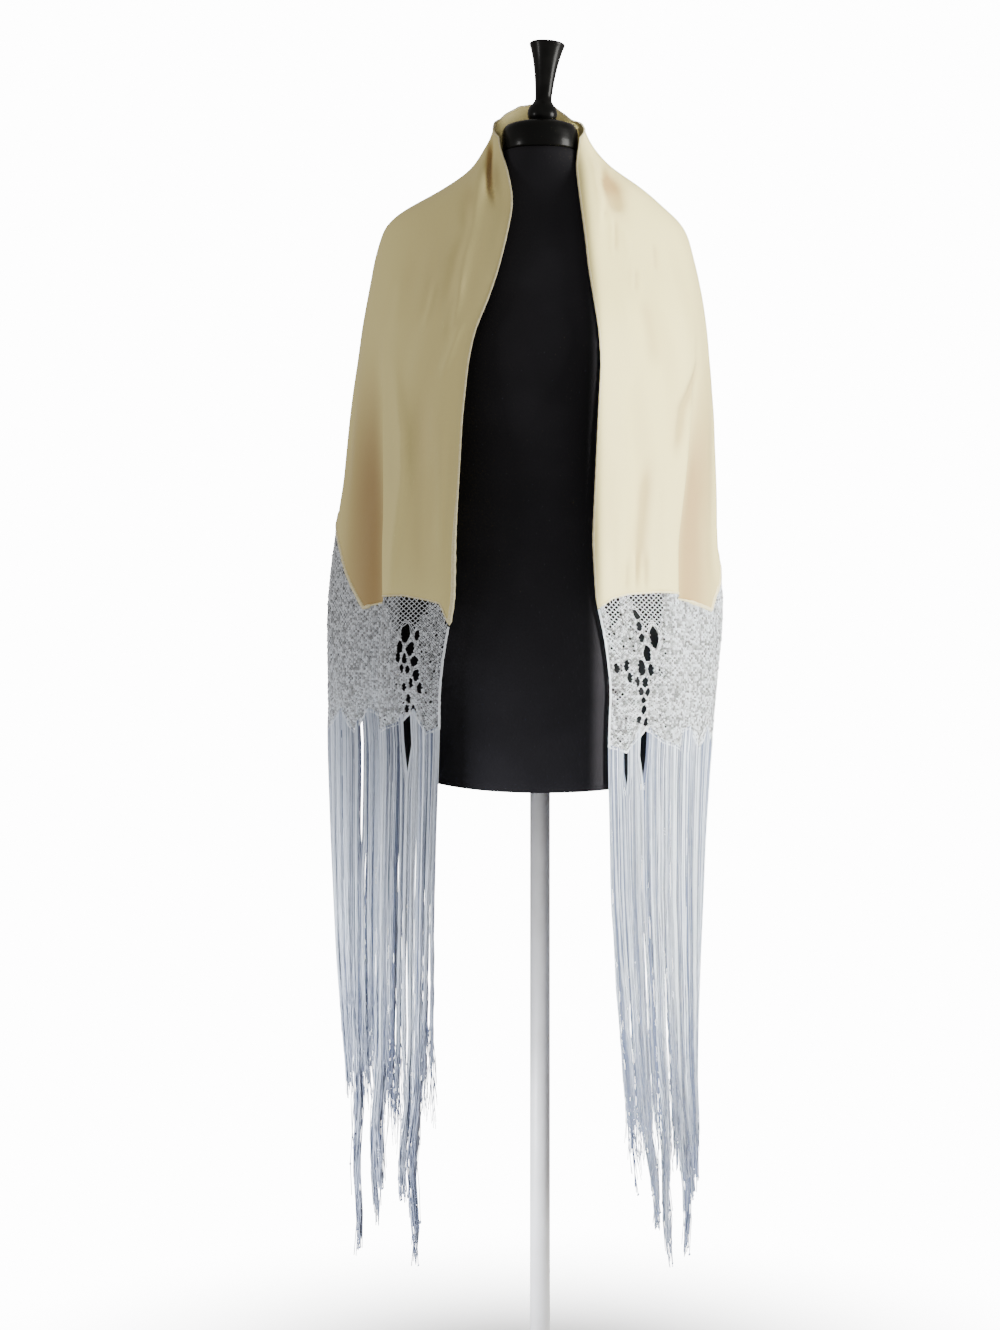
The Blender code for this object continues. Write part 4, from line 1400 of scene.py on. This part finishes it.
@dataclass
class LaceBorder:
    """One end's knotted border: a diagonal lattice of cords with knots, dense but for its nets."""

    side: Side
    drape: Drape
    finish: bpy.types.Material
    point: float
    pitch: float = 0.0030
    row_pitch: float = 0.0029
    end_share: float = 0.58
    easing_rows: float = 24.0
    cord_radius: float = 0.00064
    knot_radius: float = 0.00134
    push: float = 1.6
    rounds: int = 3
    left_out: float = 0.05
    dense_from: float = 0.17
    dense_to: float = 0.24
    net_cord: float = 0.66
    edge_radius: float = 0.0016
    seed: int = 11
    level: float = 0.90
    net_level: float = 0.955
    net_taper: float = 0.62
    wider: float = 0.0013
    higher: float = 0.0011
    later_push: float = 1.15
    well_inside: float = 0.90
    uneven: float = 0.00028
    hem_gap: float = 0.0012
    odd_lift: float = 0.0004
    uneven_lift: float = 0.0003
    lean: float = 0.75
    net_knot: Point = (0.34, 0.34, 0.36)
    close_knot: Point = (0.92, 0.52, 1.14)
    dense_growth: float = 0.30
    uneven_lean: float = 0.15
    uneven_size: tuple[float, float] = (0.86, 1.14)
    net_tone: float = 0.95
    end_tone: float = 0.80
    least_left_tone: float = 0.30

    def foot(self, shares: np.ndarray) -> np.ndarray:
        """Height of the zigzag foot."""
        return self.point + read(ZIGZAG, shares, 1)

    def _large_openings(self) -> list[tuple[float, float, float, float]]:
        """Run, height, half width and half height of each larger opening, the largest last."""
        found = []
        for across, level, half_width, half_height in OPENINGS_IN_LACE[self.side]:
            run = self.drape.run_across(across, level)
            found.append((run, level, half_width + self.wider, half_height + self.higher))
        return found

    def _opened(self, run: np.ndarray, height: np.ndarray) -> tuple[np.ndarray, np.ndarray]:
        """Push lattice points away from the larger openings.

        Args:
            run: Run of each point from the opening edge.
            height: Height of each point.

        Returns:
            The moved runs and heights.
        """
        run, height = run.copy(), height.copy()
        for turn in range(self.rounds):
            push = self.push if turn == 0 else self.later_push
            for centre, level, half_width, half_height in self._large_openings():
                u = (run - centre) / half_width
                v = (height - level) / half_height
                away = np.hypot(u, v)
                moved = 1.0 + away * (push - 1.0) / push
                scale = np.where(away < push, moved / np.maximum(away, 1e-6), 1.0)
                run = centre + u * scale * half_width
                height = level + v * scale * half_height
        return run, height

    def _in_opening(self, run: np.ndarray, height: np.ndarray) -> np.ndarray:
        """Whether points lie well inside a larger opening."""
        inside = np.zeros(run.shape, dtype=bool)
        for centre, level, half_width, half_height in self._large_openings():
            away = np.hypot((run - centre) / half_width, (height - level) / half_height)
            inside |= away < self.well_inside
        return inside

    def _net_part(self, run: np.ndarray, below_hem: np.ndarray) -> np.ndarray:
        """Whether points lie in one of the open nets."""
        inside = np.zeros(run.shape, dtype=bool)
        for across, half_width, depth in NETS[self.side]:
            centre = self.drape.run_across(across, self.net_level)
            narrowed = half_width * (1.0 - self.net_taper * np.clip(below_hem / depth, 0.0, 1.0))
            inside |= (np.abs(run - centre) < narrowed) & (below_hem < depth)
        return inside

    def _lattice(self, rng: np.random.Generator) -> Lattice:
        """Spread the lattice under the hem, a little uneven and pushed open where the lace is.

        Args:
            rng: Source of the places' unevenness.

        Returns:
            The lattice.
        """
        total_run = float(self.drape.run(np.array(self.end_share), np.array(self.level)))
        columns = int(total_run / self.pitch)
        runs = np.linspace(0.0, total_run, columns + 1)
        shares = self.drape.share_at(runs, self.level)
        rows = int((hem_height(self.side, shares).max() - self.point) / self.row_pitch) + 2
        row = np.arange(rows + 1)[None, :]
        eased = np.clip(1.0 - row / self.easing_rows, 0.0, 1.0)
        rise = (self.foot(shares) - self.point)[:, None]
        heights = self.point + rise * eased + row * self.row_pitch
        heights = heights + rng.normal(0.0, self.uneven, heights.shape)
        run = runs[:, None] + rng.normal(0.0, self.uneven, heights.shape)
        run, heights = self._opened(np.clip(run, 0.0, total_run), heights)
        share = np.interp(run, runs, shares)
        below_hem = hem_height(self.side, share) - heights
        lattice = Lattice(
            run=run, heights=heights, share=share,
            there=heights < hem_height(self.side, share) - self.hem_gap,
            netted=self._net_part(run, below_hem),
            place=self.drape.at(share, heights), out=self.drape.outward(share, heights),
        )
        lift = np.where(lattice.even, 0.0, self.odd_lift)
        lift = lift + rng.normal(0.0, self.uneven_lift, heights.shape)
        lattice.place = lattice.place + lattice.out * lift[..., None]
        return lattice

    def _cords(self, lattice: Lattice, kept: np.ndarray) -> tuple[list[tuple[int, int]], np.ndarray]:
        """Diagonal cords between crossings, the topmost ones tied to the hem.

        Args:
            lattice: The lattice.
            kept: Which of its places are points of the plan.

        Returns:
            Pairs of points, and the places on the hem, numbered on from the kept ones.
        """
        count = int(kept.sum())
        index = -np.ones(kept.shape, dtype=int)
        index[kept] = np.arange(count)
        columns, rows = kept.shape[0] - 1, kept.shape[1] - 1
        run, heights, share, there = lattice.run, lattice.heights, lattice.share, lattice.there
        edges: list[tuple[int, int]] = []
        ends: list[np.ndarray] = []
        for way in (-1, 1):
            a, b = max(0, -way), columns + 1 - max(0, way)
            low = (slice(a, b), slice(0, rows))
            high = (slice(a + way, b + way), slice(1, rows + 1))
            middle_run = 0.5 * (run[low] + run[high])
            middle_height = 0.5 * (heights[low] + heights[high])
            good = lattice.even[low] & there[low] & ~self._in_opening(middle_run, middle_height)
            both = good & there[high]
            edges.extend(zip(index[low][both].tolist(), index[high][both].tolist()))
            cut = good & ~there[high]
            for start, s_low, s_high in zip(index[low][cut], share[low][cut], share[high][cut]):
                edges.append((int(start), count + len(ends)))
                middle = np.array(0.5 * (s_low + s_high))
                ends.append(self.drape.at(middle, np.array(float(hem_height(self.side, middle)))))
        return edges, np.array(ends)

    def build(self) -> bpy.types.Object:
        """Make the border."""
        rng = np.random.default_rng(self.seed + self.side.value)
        lattice = self._lattice(rng)
        there, place = lattice.there, lattice.place
        dense = smooth_rise(lattice.share, self.dense_from, self.dense_to)
        filled = rng.uniform(size=there.shape) > self.left_out * (1.0 - dense)
        kept = there & (lattice.even | (~lattice.netted & filled))
        count, small = int(kept.sum()), lattice.netted[kept]
        edges, ends = self._cords(lattice, kept)
        lines, total = [place[kept], ends], count + len(ends)
        for line in (place[0][there[0]], place[-1][there[-1]], place[:, 0]):
            edges.extend((total + k, total + k + 1) for k in range(len(line) - 1))
            lines.append(line)
            total += len(line)
        border = np.arange(total) >= count + len(ends)
        thick = np.where(border, self.edge_radius / self.cord_radius, 1.0)
        thick[:count] = np.where(small, self.net_cord, 1.0)

        lean = np.where(lattice.even, self.lean, -self.lean)
        lean = lean * np.where((lattice.column // 2) % 2 == 0, 1.0, -1.0)
        facing = np.arctan2(lattice.out[..., 0], -lattice.out[..., 1])
        turn = np.zeros((total, 3))
        turn[:count, 1] = lean[kept] + rng.normal(0.0, self.uneven_lean, count)
        turn[:count, 2] = facing[kept]
        grown = 1.0 + self.dense_growth * dense[kept]
        size = np.ones((total, 3))
        for axis, growth in enumerate((grown, 1.0, grown)):
            close = self.close_knot[axis] * growth
            size[:count, axis] = np.where(small, self.net_knot[axis], close)
        size *= rng.uniform(*self.uneven_size, (total, 1))
        # Random tone per knot, spread differently on the two sides as painted light: on the right, where the
        # beam falls, it reaches the dark end as painted shade among the knots; on the left it stays lighter.
        uneven = rng.uniform(0.0, 1.0, count)
        least = self.least_left_tone
        uneven = uneven**0.9 if self.side is Side.RIGHT else least + (1.0 - least) * uneven
        tone = np.where(border, 1.0, self.end_tone)
        tone[:count] = np.where(small, self.net_tone, uneven)

        plan = new_piece(f"lace_border_{self.side.word}", np.concatenate(lines), (), None, edges)
        sizes = {"Cord radius": self.cord_radius, "Cord sides": 4, "Knot radius": self.knot_radius}
        tree = GeometryTree(f"knotted_lattice_{self.side.word}", sizes)
        knot = np.arange(total) < count
        work_cords(plan, tree, self.finish, knot=knot, turn=turn, size=size, tone=tone, thick=thick)
        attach(plan, "root")
        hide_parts(f"lace_{self.side.word}")
        return plan


@dataclass
class LaceGround:
    """Close cords just behind the knots, where a border is worked without gaps; as a dark sheet it is also
    painted shadow between the knots.
    """

    lace: LaceBorder
    finish: bpy.types.Material
    start: float = 0.205
    behind: float = 0.0013
    thickness: float = 0.0005
    columns: int = 70
    rows: int = 48
    edge_gap: float = 0.0025
    side_gap: float = 0.004
    hem_gap: float = 0.0005

    def build(self) -> bpy.types.Object:
        """Make the ground."""
        lace = self.lace
        shares = np.linspace(self.start, lace.end_share - self.side_gap, self.columns)
        low = lace.foot(shares) + self.edge_gap
        high = hem_height(lace.side, shares) - self.hem_gap
        parts = np.linspace(0.0, 1.0, self.rows)
        heights = high[:, None] + (low - high)[:, None] * parts[None, :]
        across = np.broadcast_to(shares[:, None], heights.shape)
        out = lace.drape.outward(across, heights)
        grid = lace.drape.at(across, heights) - out * self.behind
        faces = grid_faces(self.columns, self.rows)
        if lace.side is Side.RIGHT:
            faces = [face[::-1] for face in faces]
        piece = new_piece(f"lace_ground_{lace.side.word}", grid.reshape(-1, 3), faces, self.finish)
        thicken(piece, self.thickness)
        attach(piece, "root")
        return piece


# Long tangled tails: distance from the middle, height of the tip, half width at its top.
TAILS: dict[Side, Rows] = {
    Side.LEFT: (
        (0.2330, 0.160, 0.0060),
        (0.2060, 0.205, 0.0045),
        (0.1960, 0.255, 0.0045),
        (0.1640, 0.240, 0.0050),
        (0.1500, 0.165, 0.0060),
    ),
    Side.RIGHT: (
        (0.1250, 0.205, 0.0045),
        (0.1480, 0.160, 0.0050),
        (0.1760, 0.165, 0.0055),
        (0.2060, 0.215, 0.0045),
    ),
}

# Partings of the fringe under the lace: distance from the middle, height, half width, length.
PARTINGS: dict[Side, Rows] = {
    Side.LEFT: (
        (0.1606, 0.820, 0.0055, 0.062),
        (0.2185, 0.775, 0.0030, 0.150),
    ),
    Side.RIGHT: (
        (0.1222, 0.810, 0.0050, 0.064),
        (0.1010, 0.790, 0.0036, 0.050),
    ),
}


@dataclass
class Fringe:
    """The long strands of one end, in bundles that part, cross and tangle towards their tips."""

    side: Side
    drape: Drape
    lace: LaceBorder
    finish: bpy.types.Material
    bundles: int = 215
    strands: int = 8
    sections: int = 16
    strand_radius: float = 0.00056
    knot_radius: float = 0.0011
    spread: float = 0.0015
    tail_reach: float = 0.0062
    tail_level: float = 0.50
    parting_reach: float = 0.0065
    front_share: float = 0.56
    level: float = 0.80
    seed: int = 5
    uneven_tip: tuple[float, float] = (-0.03, 0.05)
    into_lace: float = 0.003
    swing: float = 0.0026
    stray_swing: float = 0.0020
    stray_depth: float = 0.0016
    frizz: float = 0.0019
    tip_stray: float = 0.0035
    tail_start: float = 0.10
    tail_full: float = 0.06
    tail_taper: float = 0.55
    tail_wave: float = 0.0040
    tail_ripple: float = 0.0014
    long_below: float = 0.27
    knotted_part: float = 0.25

    def _parted(self, run: float, heights: np.ndarray) -> np.ndarray:
        """Sideways push of the strands beside a parting."""
        push = np.zeros_like(heights)
        for across, level, half_width, length in PARTINGS[self.side]:
            away = run - self.drape.run_across(across, level, self.front_share)
            part = 1.0 - smooth_rise(-heights, -(level - 0.5 * length), -(level - length))
            near = math.exp(-(away / self.parting_reach) ** 2)
            push += math.copysign(half_width, away) * near * part
        return push

    def _tail(self, run: float) -> Point | None:
        """The long tail that a bundle joins: its run, tip and half width, or nothing."""
        for across, tip, half_width in TAILS[self.side]:
            middle = self.drape.run_across(across, self.tail_level, self.front_share)
            if abs(run - middle) < self.tail_reach:
                return middle, tip, half_width
        return None

    def _gathered(
        self, rng: np.random.Generator, run: float, tip: float, tail: Point, heights: np.ndarray
    ) -> tuple[np.ndarray, np.ndarray, np.ndarray]:
        """How a strand's lower part lies in its long tail.

        Args:
            rng: Source of the strand's unevenness.
            run: Where the strand hangs.
            tip: Height where its bundle ends.
            tail: Run, tip and half width of the tail.
            heights: Heights of the strand's points.

        Returns:
            How far each point is in the tail, its sideways offset there, and the tail's half width.
        """
        middle, low, half_width = tail
        below = smooth_rise(-heights, -(tip + self.tail_start), -(tip - self.tail_full))
        down = np.clip((tip - heights) / max(tip - low, 0.01), 0.0, 1.0)
        width = half_width * (1.0 - self.tail_taper * down)
        wave = self.tail_wave * np.sin(middle * 900.0 + (tip - heights) * 36.0)
        clump = middle - run + wave + rng.uniform(-1.0, 1.0) * width
        clump = clump + self.tail_ripple * np.sin(rng.uniform(0, 6.28) + heights * 150.0)
        return below, clump, width

    def _bundle(self, rng: np.random.Generator, share: float) -> list[np.ndarray]:
        """Paths of one bundle's strands.

        Args:
            rng: Source of the strands' unevenness.
            share: Share of the way round where the bundle hangs.

        Returns:
            One path for each strand.
        """
        root = float(self.lace.foot(np.array(share)))
        tip = float(read(TIPS, share, self.side.column(1)))
        tip += rng.uniform(*self.uneven_tip)
        run = float(self.drape.run(np.array(share), np.array(self.level)))
        tail = self._tail(run)
        part = np.linspace(0.0, 1.0, self.sections)
        stray = rng.normal(0.0, 1.0, 5)
        paths = []
        for _ in range(self.strands):
            end = tip + rng.uniform(*self.uneven_tip)
            if tail:
                end = min(end, tail[1] + (tip - tail[1]) * rng.uniform(0.0, 1.0) ** 1.3)
            heights = root + self.into_lace + (end - root) * part
            base = self.drape.at(np.full_like(part, share), heights)
            out = self.drape.outward(np.full_like(part, share), heights)
            tangent = np.stack((-out[:, 1], out[:, 0], np.zeros_like(part)), axis=1)
            tangent *= self.side.value
            angle, ring = rng.uniform(0, 2 * math.pi), math.sqrt(rng.uniform(0.0, 1.0))
            gather = 1.0 - 0.5 * smooth_rise(part, 0.40, 0.95)
            swing = self.swing * part * np.sin(2.5 * part + stray[0])
            swing = swing + self.stray_swing * part * stray[1]
            frizz = self.frizz * part**2 * np.sin(26.0 * part + rng.uniform(0, 6.28))
            across = ring * math.cos(angle) * self.spread * gather + swing + frizz
            across = across + self._parted(run, heights)
            depth = ring * math.sin(angle) * self.spread * gather
            depth = depth + self.stray_depth * part * stray[2]
            if tail:
                below, clump, width = self._gathered(rng, run, tip, tail, heights)
                across = across * (1.0 - below) + clump * below
                depth = depth + below * rng.uniform(-0.8, 0.8) * width
            else:
                across = across + smooth_rise(part, 0.84, 1.0) * rng.normal(0.0, self.tip_stray)
            paths.append(base + tangent * across[:, None] + out * depth[:, None])
        return paths

    def build(self) -> bpy.types.Object:
        """Make the strands of this end."""
        rng = np.random.default_rng(self.seed + self.side.value)
        end_share = np.array(self.lace.end_share)
        total_run = float(self.drape.run(end_share, np.array(self.level)))
        runs = (np.arange(self.bundles) + 0.5) / self.bundles * total_run
        shares = self.drape.share_at(runs, self.level)
        points, edges, tone, thick, knot = [], [], [], [], []
        count = 0
        for share in shares:
            bundle_tone = rng.uniform(-0.25, 0.80)
            for path in self._bundle(rng, float(share)):
                points.append(path)
                edges.extend((count + step, count + step + 1) for step in range(len(path) - 1))
                # Random tone per bundle and strand; tones on the left are lifted as painted backlight, and
                # each strand darkens towards its tip as painted shadow in the tangles.
                light = min(max(bundle_tone + rng.uniform(0.0, 0.40), 0.0), 1.0)
                light = light ** (1.10 if self.side is Side.RIGHT else 0.50)
                fade = 1.0 - 0.55 * smooth_rise(np.linspace(0.0, 1.0, len(path)), 0.60, 0.95)
                tone.append(light * fade)
                long = path[-1, 2] < self.long_below
                thick.append(np.linspace(1.1, 1.15 if long else 0.75, len(path)))
                knotted = np.zeros(len(path), dtype=bool)
                if long and rng.uniform() < self.knotted_part:
                    knotted[rng.integers(self.sections - 4, self.sections)] = True
                knot.append(knotted)
                count += len(path)
        plan = new_piece(f"silk_fringe_{self.side.word}", np.concatenate(points), (), None, edges)
        turn = rng.uniform(0.0, 1.0, (count, 3))
        size = np.array((1.0, 1.0, 1.6)) * rng.uniform(0.9, 1.6, (count, 1))
        sizes = {"Cord radius": self.strand_radius, "Cord sides": 3, "Knot radius": self.knot_radius}
        work_cords(
            plan, GeometryTree(f"strands_{self.side.word}", sizes), self.finish,
            knot=np.concatenate(knot), turn=turn, size=size,
            tone=np.concatenate(tone), thick=np.concatenate(thick),
        )
        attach(plan, "root")
        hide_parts(f"fringe_{self.side.word}_front", f"fringe_{self.side.word}_side")
        return plan


# Dress form and stand


@dataclass
class DressForm:
    """The limbless body under the shawl, a smooth jersey-covered shell."""

    drapes: dict[Side, Drape]
    finish: bpy.types.Material
    power: float = 2.2
    sides: int = 128
    rings: int = 120
    clearance: float = 0.0030
    under_from: float = 1.36
    under_to: float = 1.515
    dip: float = 0.024
    dip_curve: float = 1.5
    dip_top: float = 0.800
    foot_middle: float = 0.757
    rounding: float = 1.6
    probes: int = 400

    def _kept_under(self, points: np.ndarray) -> np.ndarray:
        """Draw the body in where it would press into the cloth on it."""
        shares = np.linspace(0.0, 1.0, self.probes)
        for ring in points:
            height = ring[0, 2]
            if not self.under_from < height < self.under_to:
                continue
            for side, drape in self.drapes.items():
                line = drape.at(shares, np.full_like(shares, height))
                angles = np.arctan2(line[:, 1], np.abs(line[:, 0]))
                order = np.argsort(angles)
                mine = (ring[:, 0] < 0) if side is Side.LEFT else (ring[:, 0] >= 0)
                turn = np.arctan2(ring[mine, 1], np.abs(ring[mine, 0]))
                reach = np.hypot(line[:, 0], line[:, 1])[order]
                limit = np.interp(turn, angles[order], reach, left=9.0) - self.clearance
                scale = np.minimum(1.0, limit / np.hypot(ring[mine, 0], ring[mine, 1]))
                ring[mine, :2] *= scale[:, None]
        return points

    def build(self) -> bpy.types.Object:
        """Make the body."""
        levels = np.linspace(BODY[0, 0], BODY[-1, 0], self.rings)
        table = softened(np.stack([read(BODY, levels, k) for k in (1, 2, 3)], axis=1), self.rounding)
        turn = np.linspace(0.0, 2.0 * math.pi, self.sides, endpoint=False)
        round_x = np.sign(np.cos(turn)) * np.abs(np.cos(turn)) ** (2.0 / self.power)
        round_y = np.sign(np.sin(turn)) * np.abs(np.sin(turn)) ** (2.0 / self.power)
        points = np.zeros((self.rings, self.sides, 3))
        for row, (half_width, front, back) in enumerate(table):
            points[row, :, 0] = half_width * round_x
            points[row, :, 1] = np.where(round_y < 0, front, back) * round_y
            points[row, :, 2] = levels[row]
        points = self._kept_under(points)
        fall = self.dip * np.abs(np.sin(turn)) ** self.dip_curve
        share = np.clip((self.dip_top - levels) / (self.dip_top - levels[0]), 0.0, 1.0)
        points[:, :, 2] -= share[:, None] * fall[None, :]

        head = (0.0, 0.0, BODY[-1, 0])
        grid, faces = capped_rings(points, (0.0, 0.0, self.foot_middle), head)
        body = new_piece("jersey_form", grid, faces, self.finish)
        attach(body, "root")
        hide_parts("form_body")
        return body


# Turned profiles: radius, height.
NECK_CAP: Rows = (
    (0.0000, 1.5350), (0.0440, 1.5350), (0.0462, 1.5356), (0.0470, 1.5375), (0.0472, 1.5470),
    (0.0472, 1.5575), (0.0468, 1.5612), (0.0455, 1.5645), (0.0430, 1.5672), (0.0390, 1.5688),
    (0.0300, 1.5692), (0.0120, 1.5692), (0.0000, 1.5692),
)
FINIAL: Rows = (
    (0.0000, 0.0000), (0.0100, 0.0000), (0.0122, 0.0008), (0.0150, 0.0034), (0.0172, 0.0066),
    (0.0184, 0.0100), (0.0187, 0.0132), (0.0183, 0.0168), (0.0170, 0.0204), (0.0150, 0.0236),
    (0.0128, 0.0262), (0.0112, 0.0286), (0.0104, 0.0315), (0.0104, 0.0350), (0.0108, 0.0400),
    (0.0118, 0.0505), (0.0132, 0.0620), (0.0152, 0.0740), (0.0176, 0.0850), (0.0200, 0.0938),
    (0.0216, 0.0980), (0.0222, 0.0998), (0.0221, 0.1008), (0.0214, 0.1015), (0.0190, 0.1013),
    (0.0000, 0.1008),
)
# Where the finial stands: height just above the cap's top, half width of its seat, lean.
CAP_TOP = 1.5695
FINIAL_SEAT = 0.0110
FINIAL_LEAN = math.radians(4.0)
POLE: Rows = (
    (0.0000, 0.0154), (0.0122, 0.0154), (0.0125, 0.0158), (0.0125, 0.7562), (0.0122, 0.7566),
    (0.0000, 0.7566),
)
FOOT: Rows = (
    (0.0000, 0.0000), (0.1400, 0.0000), (0.1470, 0.0006), (0.1494, 0.0024), (0.1500, 0.0050),
    (0.1494, 0.0076), (0.1476, 0.0096), (0.1440, 0.0113), (0.1380, 0.0125), (0.0900, 0.0134),
    (0.0300, 0.0144), (0.0240, 0.0149), (0.0190, 0.0150), (0.0000, 0.0150),
)


@dataclass
class TurnedPiece:
    """A turned piece with its smooth profile."""

    name: str
    node: str
    slot: str
    profile: Rows
    finish: bpy.types.Material
    sides: int = 72
    seat: float = 0.0
    lean: float = 0.0
    shift: float = 0.0

    def build(self) -> bpy.types.Object:
        """Make the piece."""
        turn = np.linspace(0.0, 2.0 * math.pi, self.sides, endpoint=False)
        radius, height = np.array(self.profile).T
        rings = np.zeros((len(radius), self.sides, 3))
        rings[..., :2] = radius[:, None, None] * np.stack((np.cos(turn), np.sin(turn)), axis=1)
        rings[..., 2] = height[:, None]
        grid, faces = capped_rings(rings[1:-1], rings[0, 0], rings[-1, 0])
        c, s = math.cos(self.lean), math.sin(self.lean)
        x, z = grid[:, 0].copy(), grid[:, 2].copy()
        grid[:, 0] = x * c + z * s + self.shift
        grid[:, 2] = z * c - x * s + self.seat
        piece = new_piece(self.name, grid, faces, self.finish)
        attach(piece, "root")
        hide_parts(self.node)
        return piece


# Studio


@dataclass(frozen=True)
class Lamp:
    """An area light: its place, the point that it faces, width, power, colour, height and spread."""

    name: str
    place: Point
    aim: Point
    width: float
    power: float
    colour: Point
    height: float | None = None
    spread: float = 180.0

    def build(self) -> None:
        """Set the light up."""
        light = bpy.data.lights.new(self.name, "AREA")
        light.shape = "RECTANGLE" if self.height else "SQUARE"
        light.size = self.width
        light.size_y = self.height or self.width
        light.spread = math.radians(self.spread)
        light.energy = self.power
        light.color = self.colour
        lamp = bpy.data.objects.new(self.name, light)
        lamp.location = self.place
        x, y, z = np.array(self.aim) - np.array(self.place)
        lamp.rotation_euler = (math.atan2(math.hypot(x, y), -z), 0.0, math.atan2(y, x) - math.pi / 2)
        bpy.context.scene.collection.objects.link(lamp)


# The lamps beside the beam: one grazes the right, one keeps to the left fringe, one is on the left.
LAMPS = (
    Lamp("grazing_light", (2.60, -0.35, 1.35), (0.0, 0.0, 0.95), 1.2, 95.0, (1.0, 0.99, 0.95)),
    Lamp(
        "low_light", (-1.00, -0.70, 0.05), (-0.2, 0.0, 0.28), 0.5, 5.2, (0.97, 1.0, 1.06),
        spread=52.0,
    ),
    Lamp("side_light", (-1.90, -0.80, 1.30), (-0.15, -0.05, 1.10), 0.4, 9.0, (1.0, 0.98, 0.97)),
)


@dataclass
class Studio:
    """Pale floor, bright room, the camera in front and a beam that lights the right half alone."""

    camera_place: Point = (-0.05, -3.0, 0.895)
    lens: float = 64.96
    floor_radius: float = 6.0
    floor_sides: int = 96
    room: float = 0.40
    room_colour: Point = (1.0, 0.950, 0.905)
    white: float = 14.0
    beam_azimuth: float = 9.0
    beam_distance: float = 3.60
    beam_edge: float = 0.0490
    beam_width: float = 0.30
    beam_height: float = 1.75
    beam_middle: float = 0.92
    beam_spread: float = 0.35
    beam_power: float = 5.5
    beam_colour: Point = (1.0, 0.99, 0.92)

    def build(self) -> None:
        """Set the camera, the floor, the world and the lights."""
        scene = bpy.context.scene
        lens = bpy.data.cameras.new("front_camera")
        lens.lens = self.lens
        lens.sensor_width = 36.0
        camera = bpy.data.objects.new("front_camera", lens)
        camera.location = self.camera_place
        camera.rotation_euler = (math.pi / 2, 0.0, 0.0)
        scene.collection.objects.link(camera)
        scene.camera = camera

        turn = np.linspace(0.0, 2.0 * math.pi, self.floor_sides, endpoint=False)
        ring = np.stack((np.cos(turn), np.sin(turn), np.zeros_like(turn)), axis=1)
        ring *= self.floor_radius
        floor = new_piece("pale_floor", ring, [list(range(len(ring)))], FloorFinish().material())

        world = bpy.data.worlds.new("pale_room")
        world.use_nodes = True
        bench = Bench(world.node_tree)
        soft = world.node_tree.nodes["Background"]
        soft.inputs["Color"].default_value = rgba(self.room_colour)
        soft.inputs["Strength"].default_value = self.room
        white = {"Color": rgba((1.0, 1.0, 1.0)), "Strength": self.white}
        bright = bench.node("ShaderNodeBackground", {}, white)
        seen = bench.out(bench.node("ShaderNodeLightPath"), "Is Camera Ray")
        both = bench.node("ShaderNodeMixShader", {}, {0: seen, 1: bench.out(soft), 2: bench.out(bright)})
        output = world.node_tree.nodes["World Output"]
        world.node_tree.links.new(both.outputs[0], output.inputs["Surface"])
        scene.world = world

        for lamp in (self._beam(), *LAMPS):
            lamp.build()

    def _beam(self) -> Lamp:
        """The key light, nearly parallel, with its left edge along the right edge of the opening."""
        turn = math.radians(self.beam_azimuth)
        middle = self.beam_edge + 0.5 * self.beam_width
        x, y = middle * math.cos(turn), middle * math.sin(turn)
        away_x, away_y = self.beam_distance * math.sin(turn), self.beam_distance * math.cos(turn)
        return Lamp(
            "key_light", (x + away_x, y - away_y, self.beam_middle), (x, y, self.beam_middle),
            self.beam_width, self.beam_power, self.beam_colour, self.beam_height, self.beam_spread,
        )


def main() -> None:
    """Build the stage, the form and the shawl in order."""
    logging.basicConfig(level=logging.INFO, format="%(message)s")
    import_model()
    Studio().build()
    drapes = {side: Drape(side) for side in Side}
    log.info("drape worked out")

    DressForm(drapes, JerseyFinish().material()).build()
    lacquer, paint = LacquerFinish().material(), PaintFinish().material()
    turned = (
        TurnedPiece("turned_neck_cap", "neck_cap", "lacquered_wood", NECK_CAP, lacquer),
        TurnedPiece(
            "turned_finial", "finial", "lacquered_wood", FINIAL, lacquer,
            seat=CAP_TOP + FINIAL_SEAT * math.sin(FINIAL_LEAN), lean=FINIAL_LEAN, shift=0.002,
        ),
        TurnedPiece("stand_pole", "pole", "stand_steel", POLE, paint),
        TurnedPiece("round_foot", "foot", "stand_steel", FOOT, paint, sides=128),
    )
    for piece in turned:
        piece.build()
        log.info("built %s", piece.name)

    cloth = ShawlCloth(drapes, CrepeFinish().material())
    shawl = cloth.build()
    hems = RolledHem(cloth, HemFinish().material()).build()
    log.info("built %s with its hems", shawl.name)

    lace_cord, close_ground = CordFinish().material(), GroundFinish().material()
    # The fringe silk's dark end stands for darker strands and painted shadow between them.
    silk = CordFinish(
        name="fringe_silk", light=(0.83, 0.90, 1.0), dark=(0.10, 0.13, 0.23),
        roughness=0.38, sheen=0.35,
    ).material()
    ends = []
    for side, point in ((Side.LEFT, 0.812), (Side.RIGHT, 0.790)):
        lace = LaceBorder(side, drapes[side], lace_cord, point)
        ends.append(lace.build())
        ends.append(LaceGround(lace, close_ground).build())
        ends.append(Fringe(side, drapes[side], lace, silk).build())
        counts = [(piece.name, len(piece.data.polygons)) for piece in ends[-3:]]
        log.info("built the %s end: %s", side.word, counts)


if __name__ == "__main__":
    main()
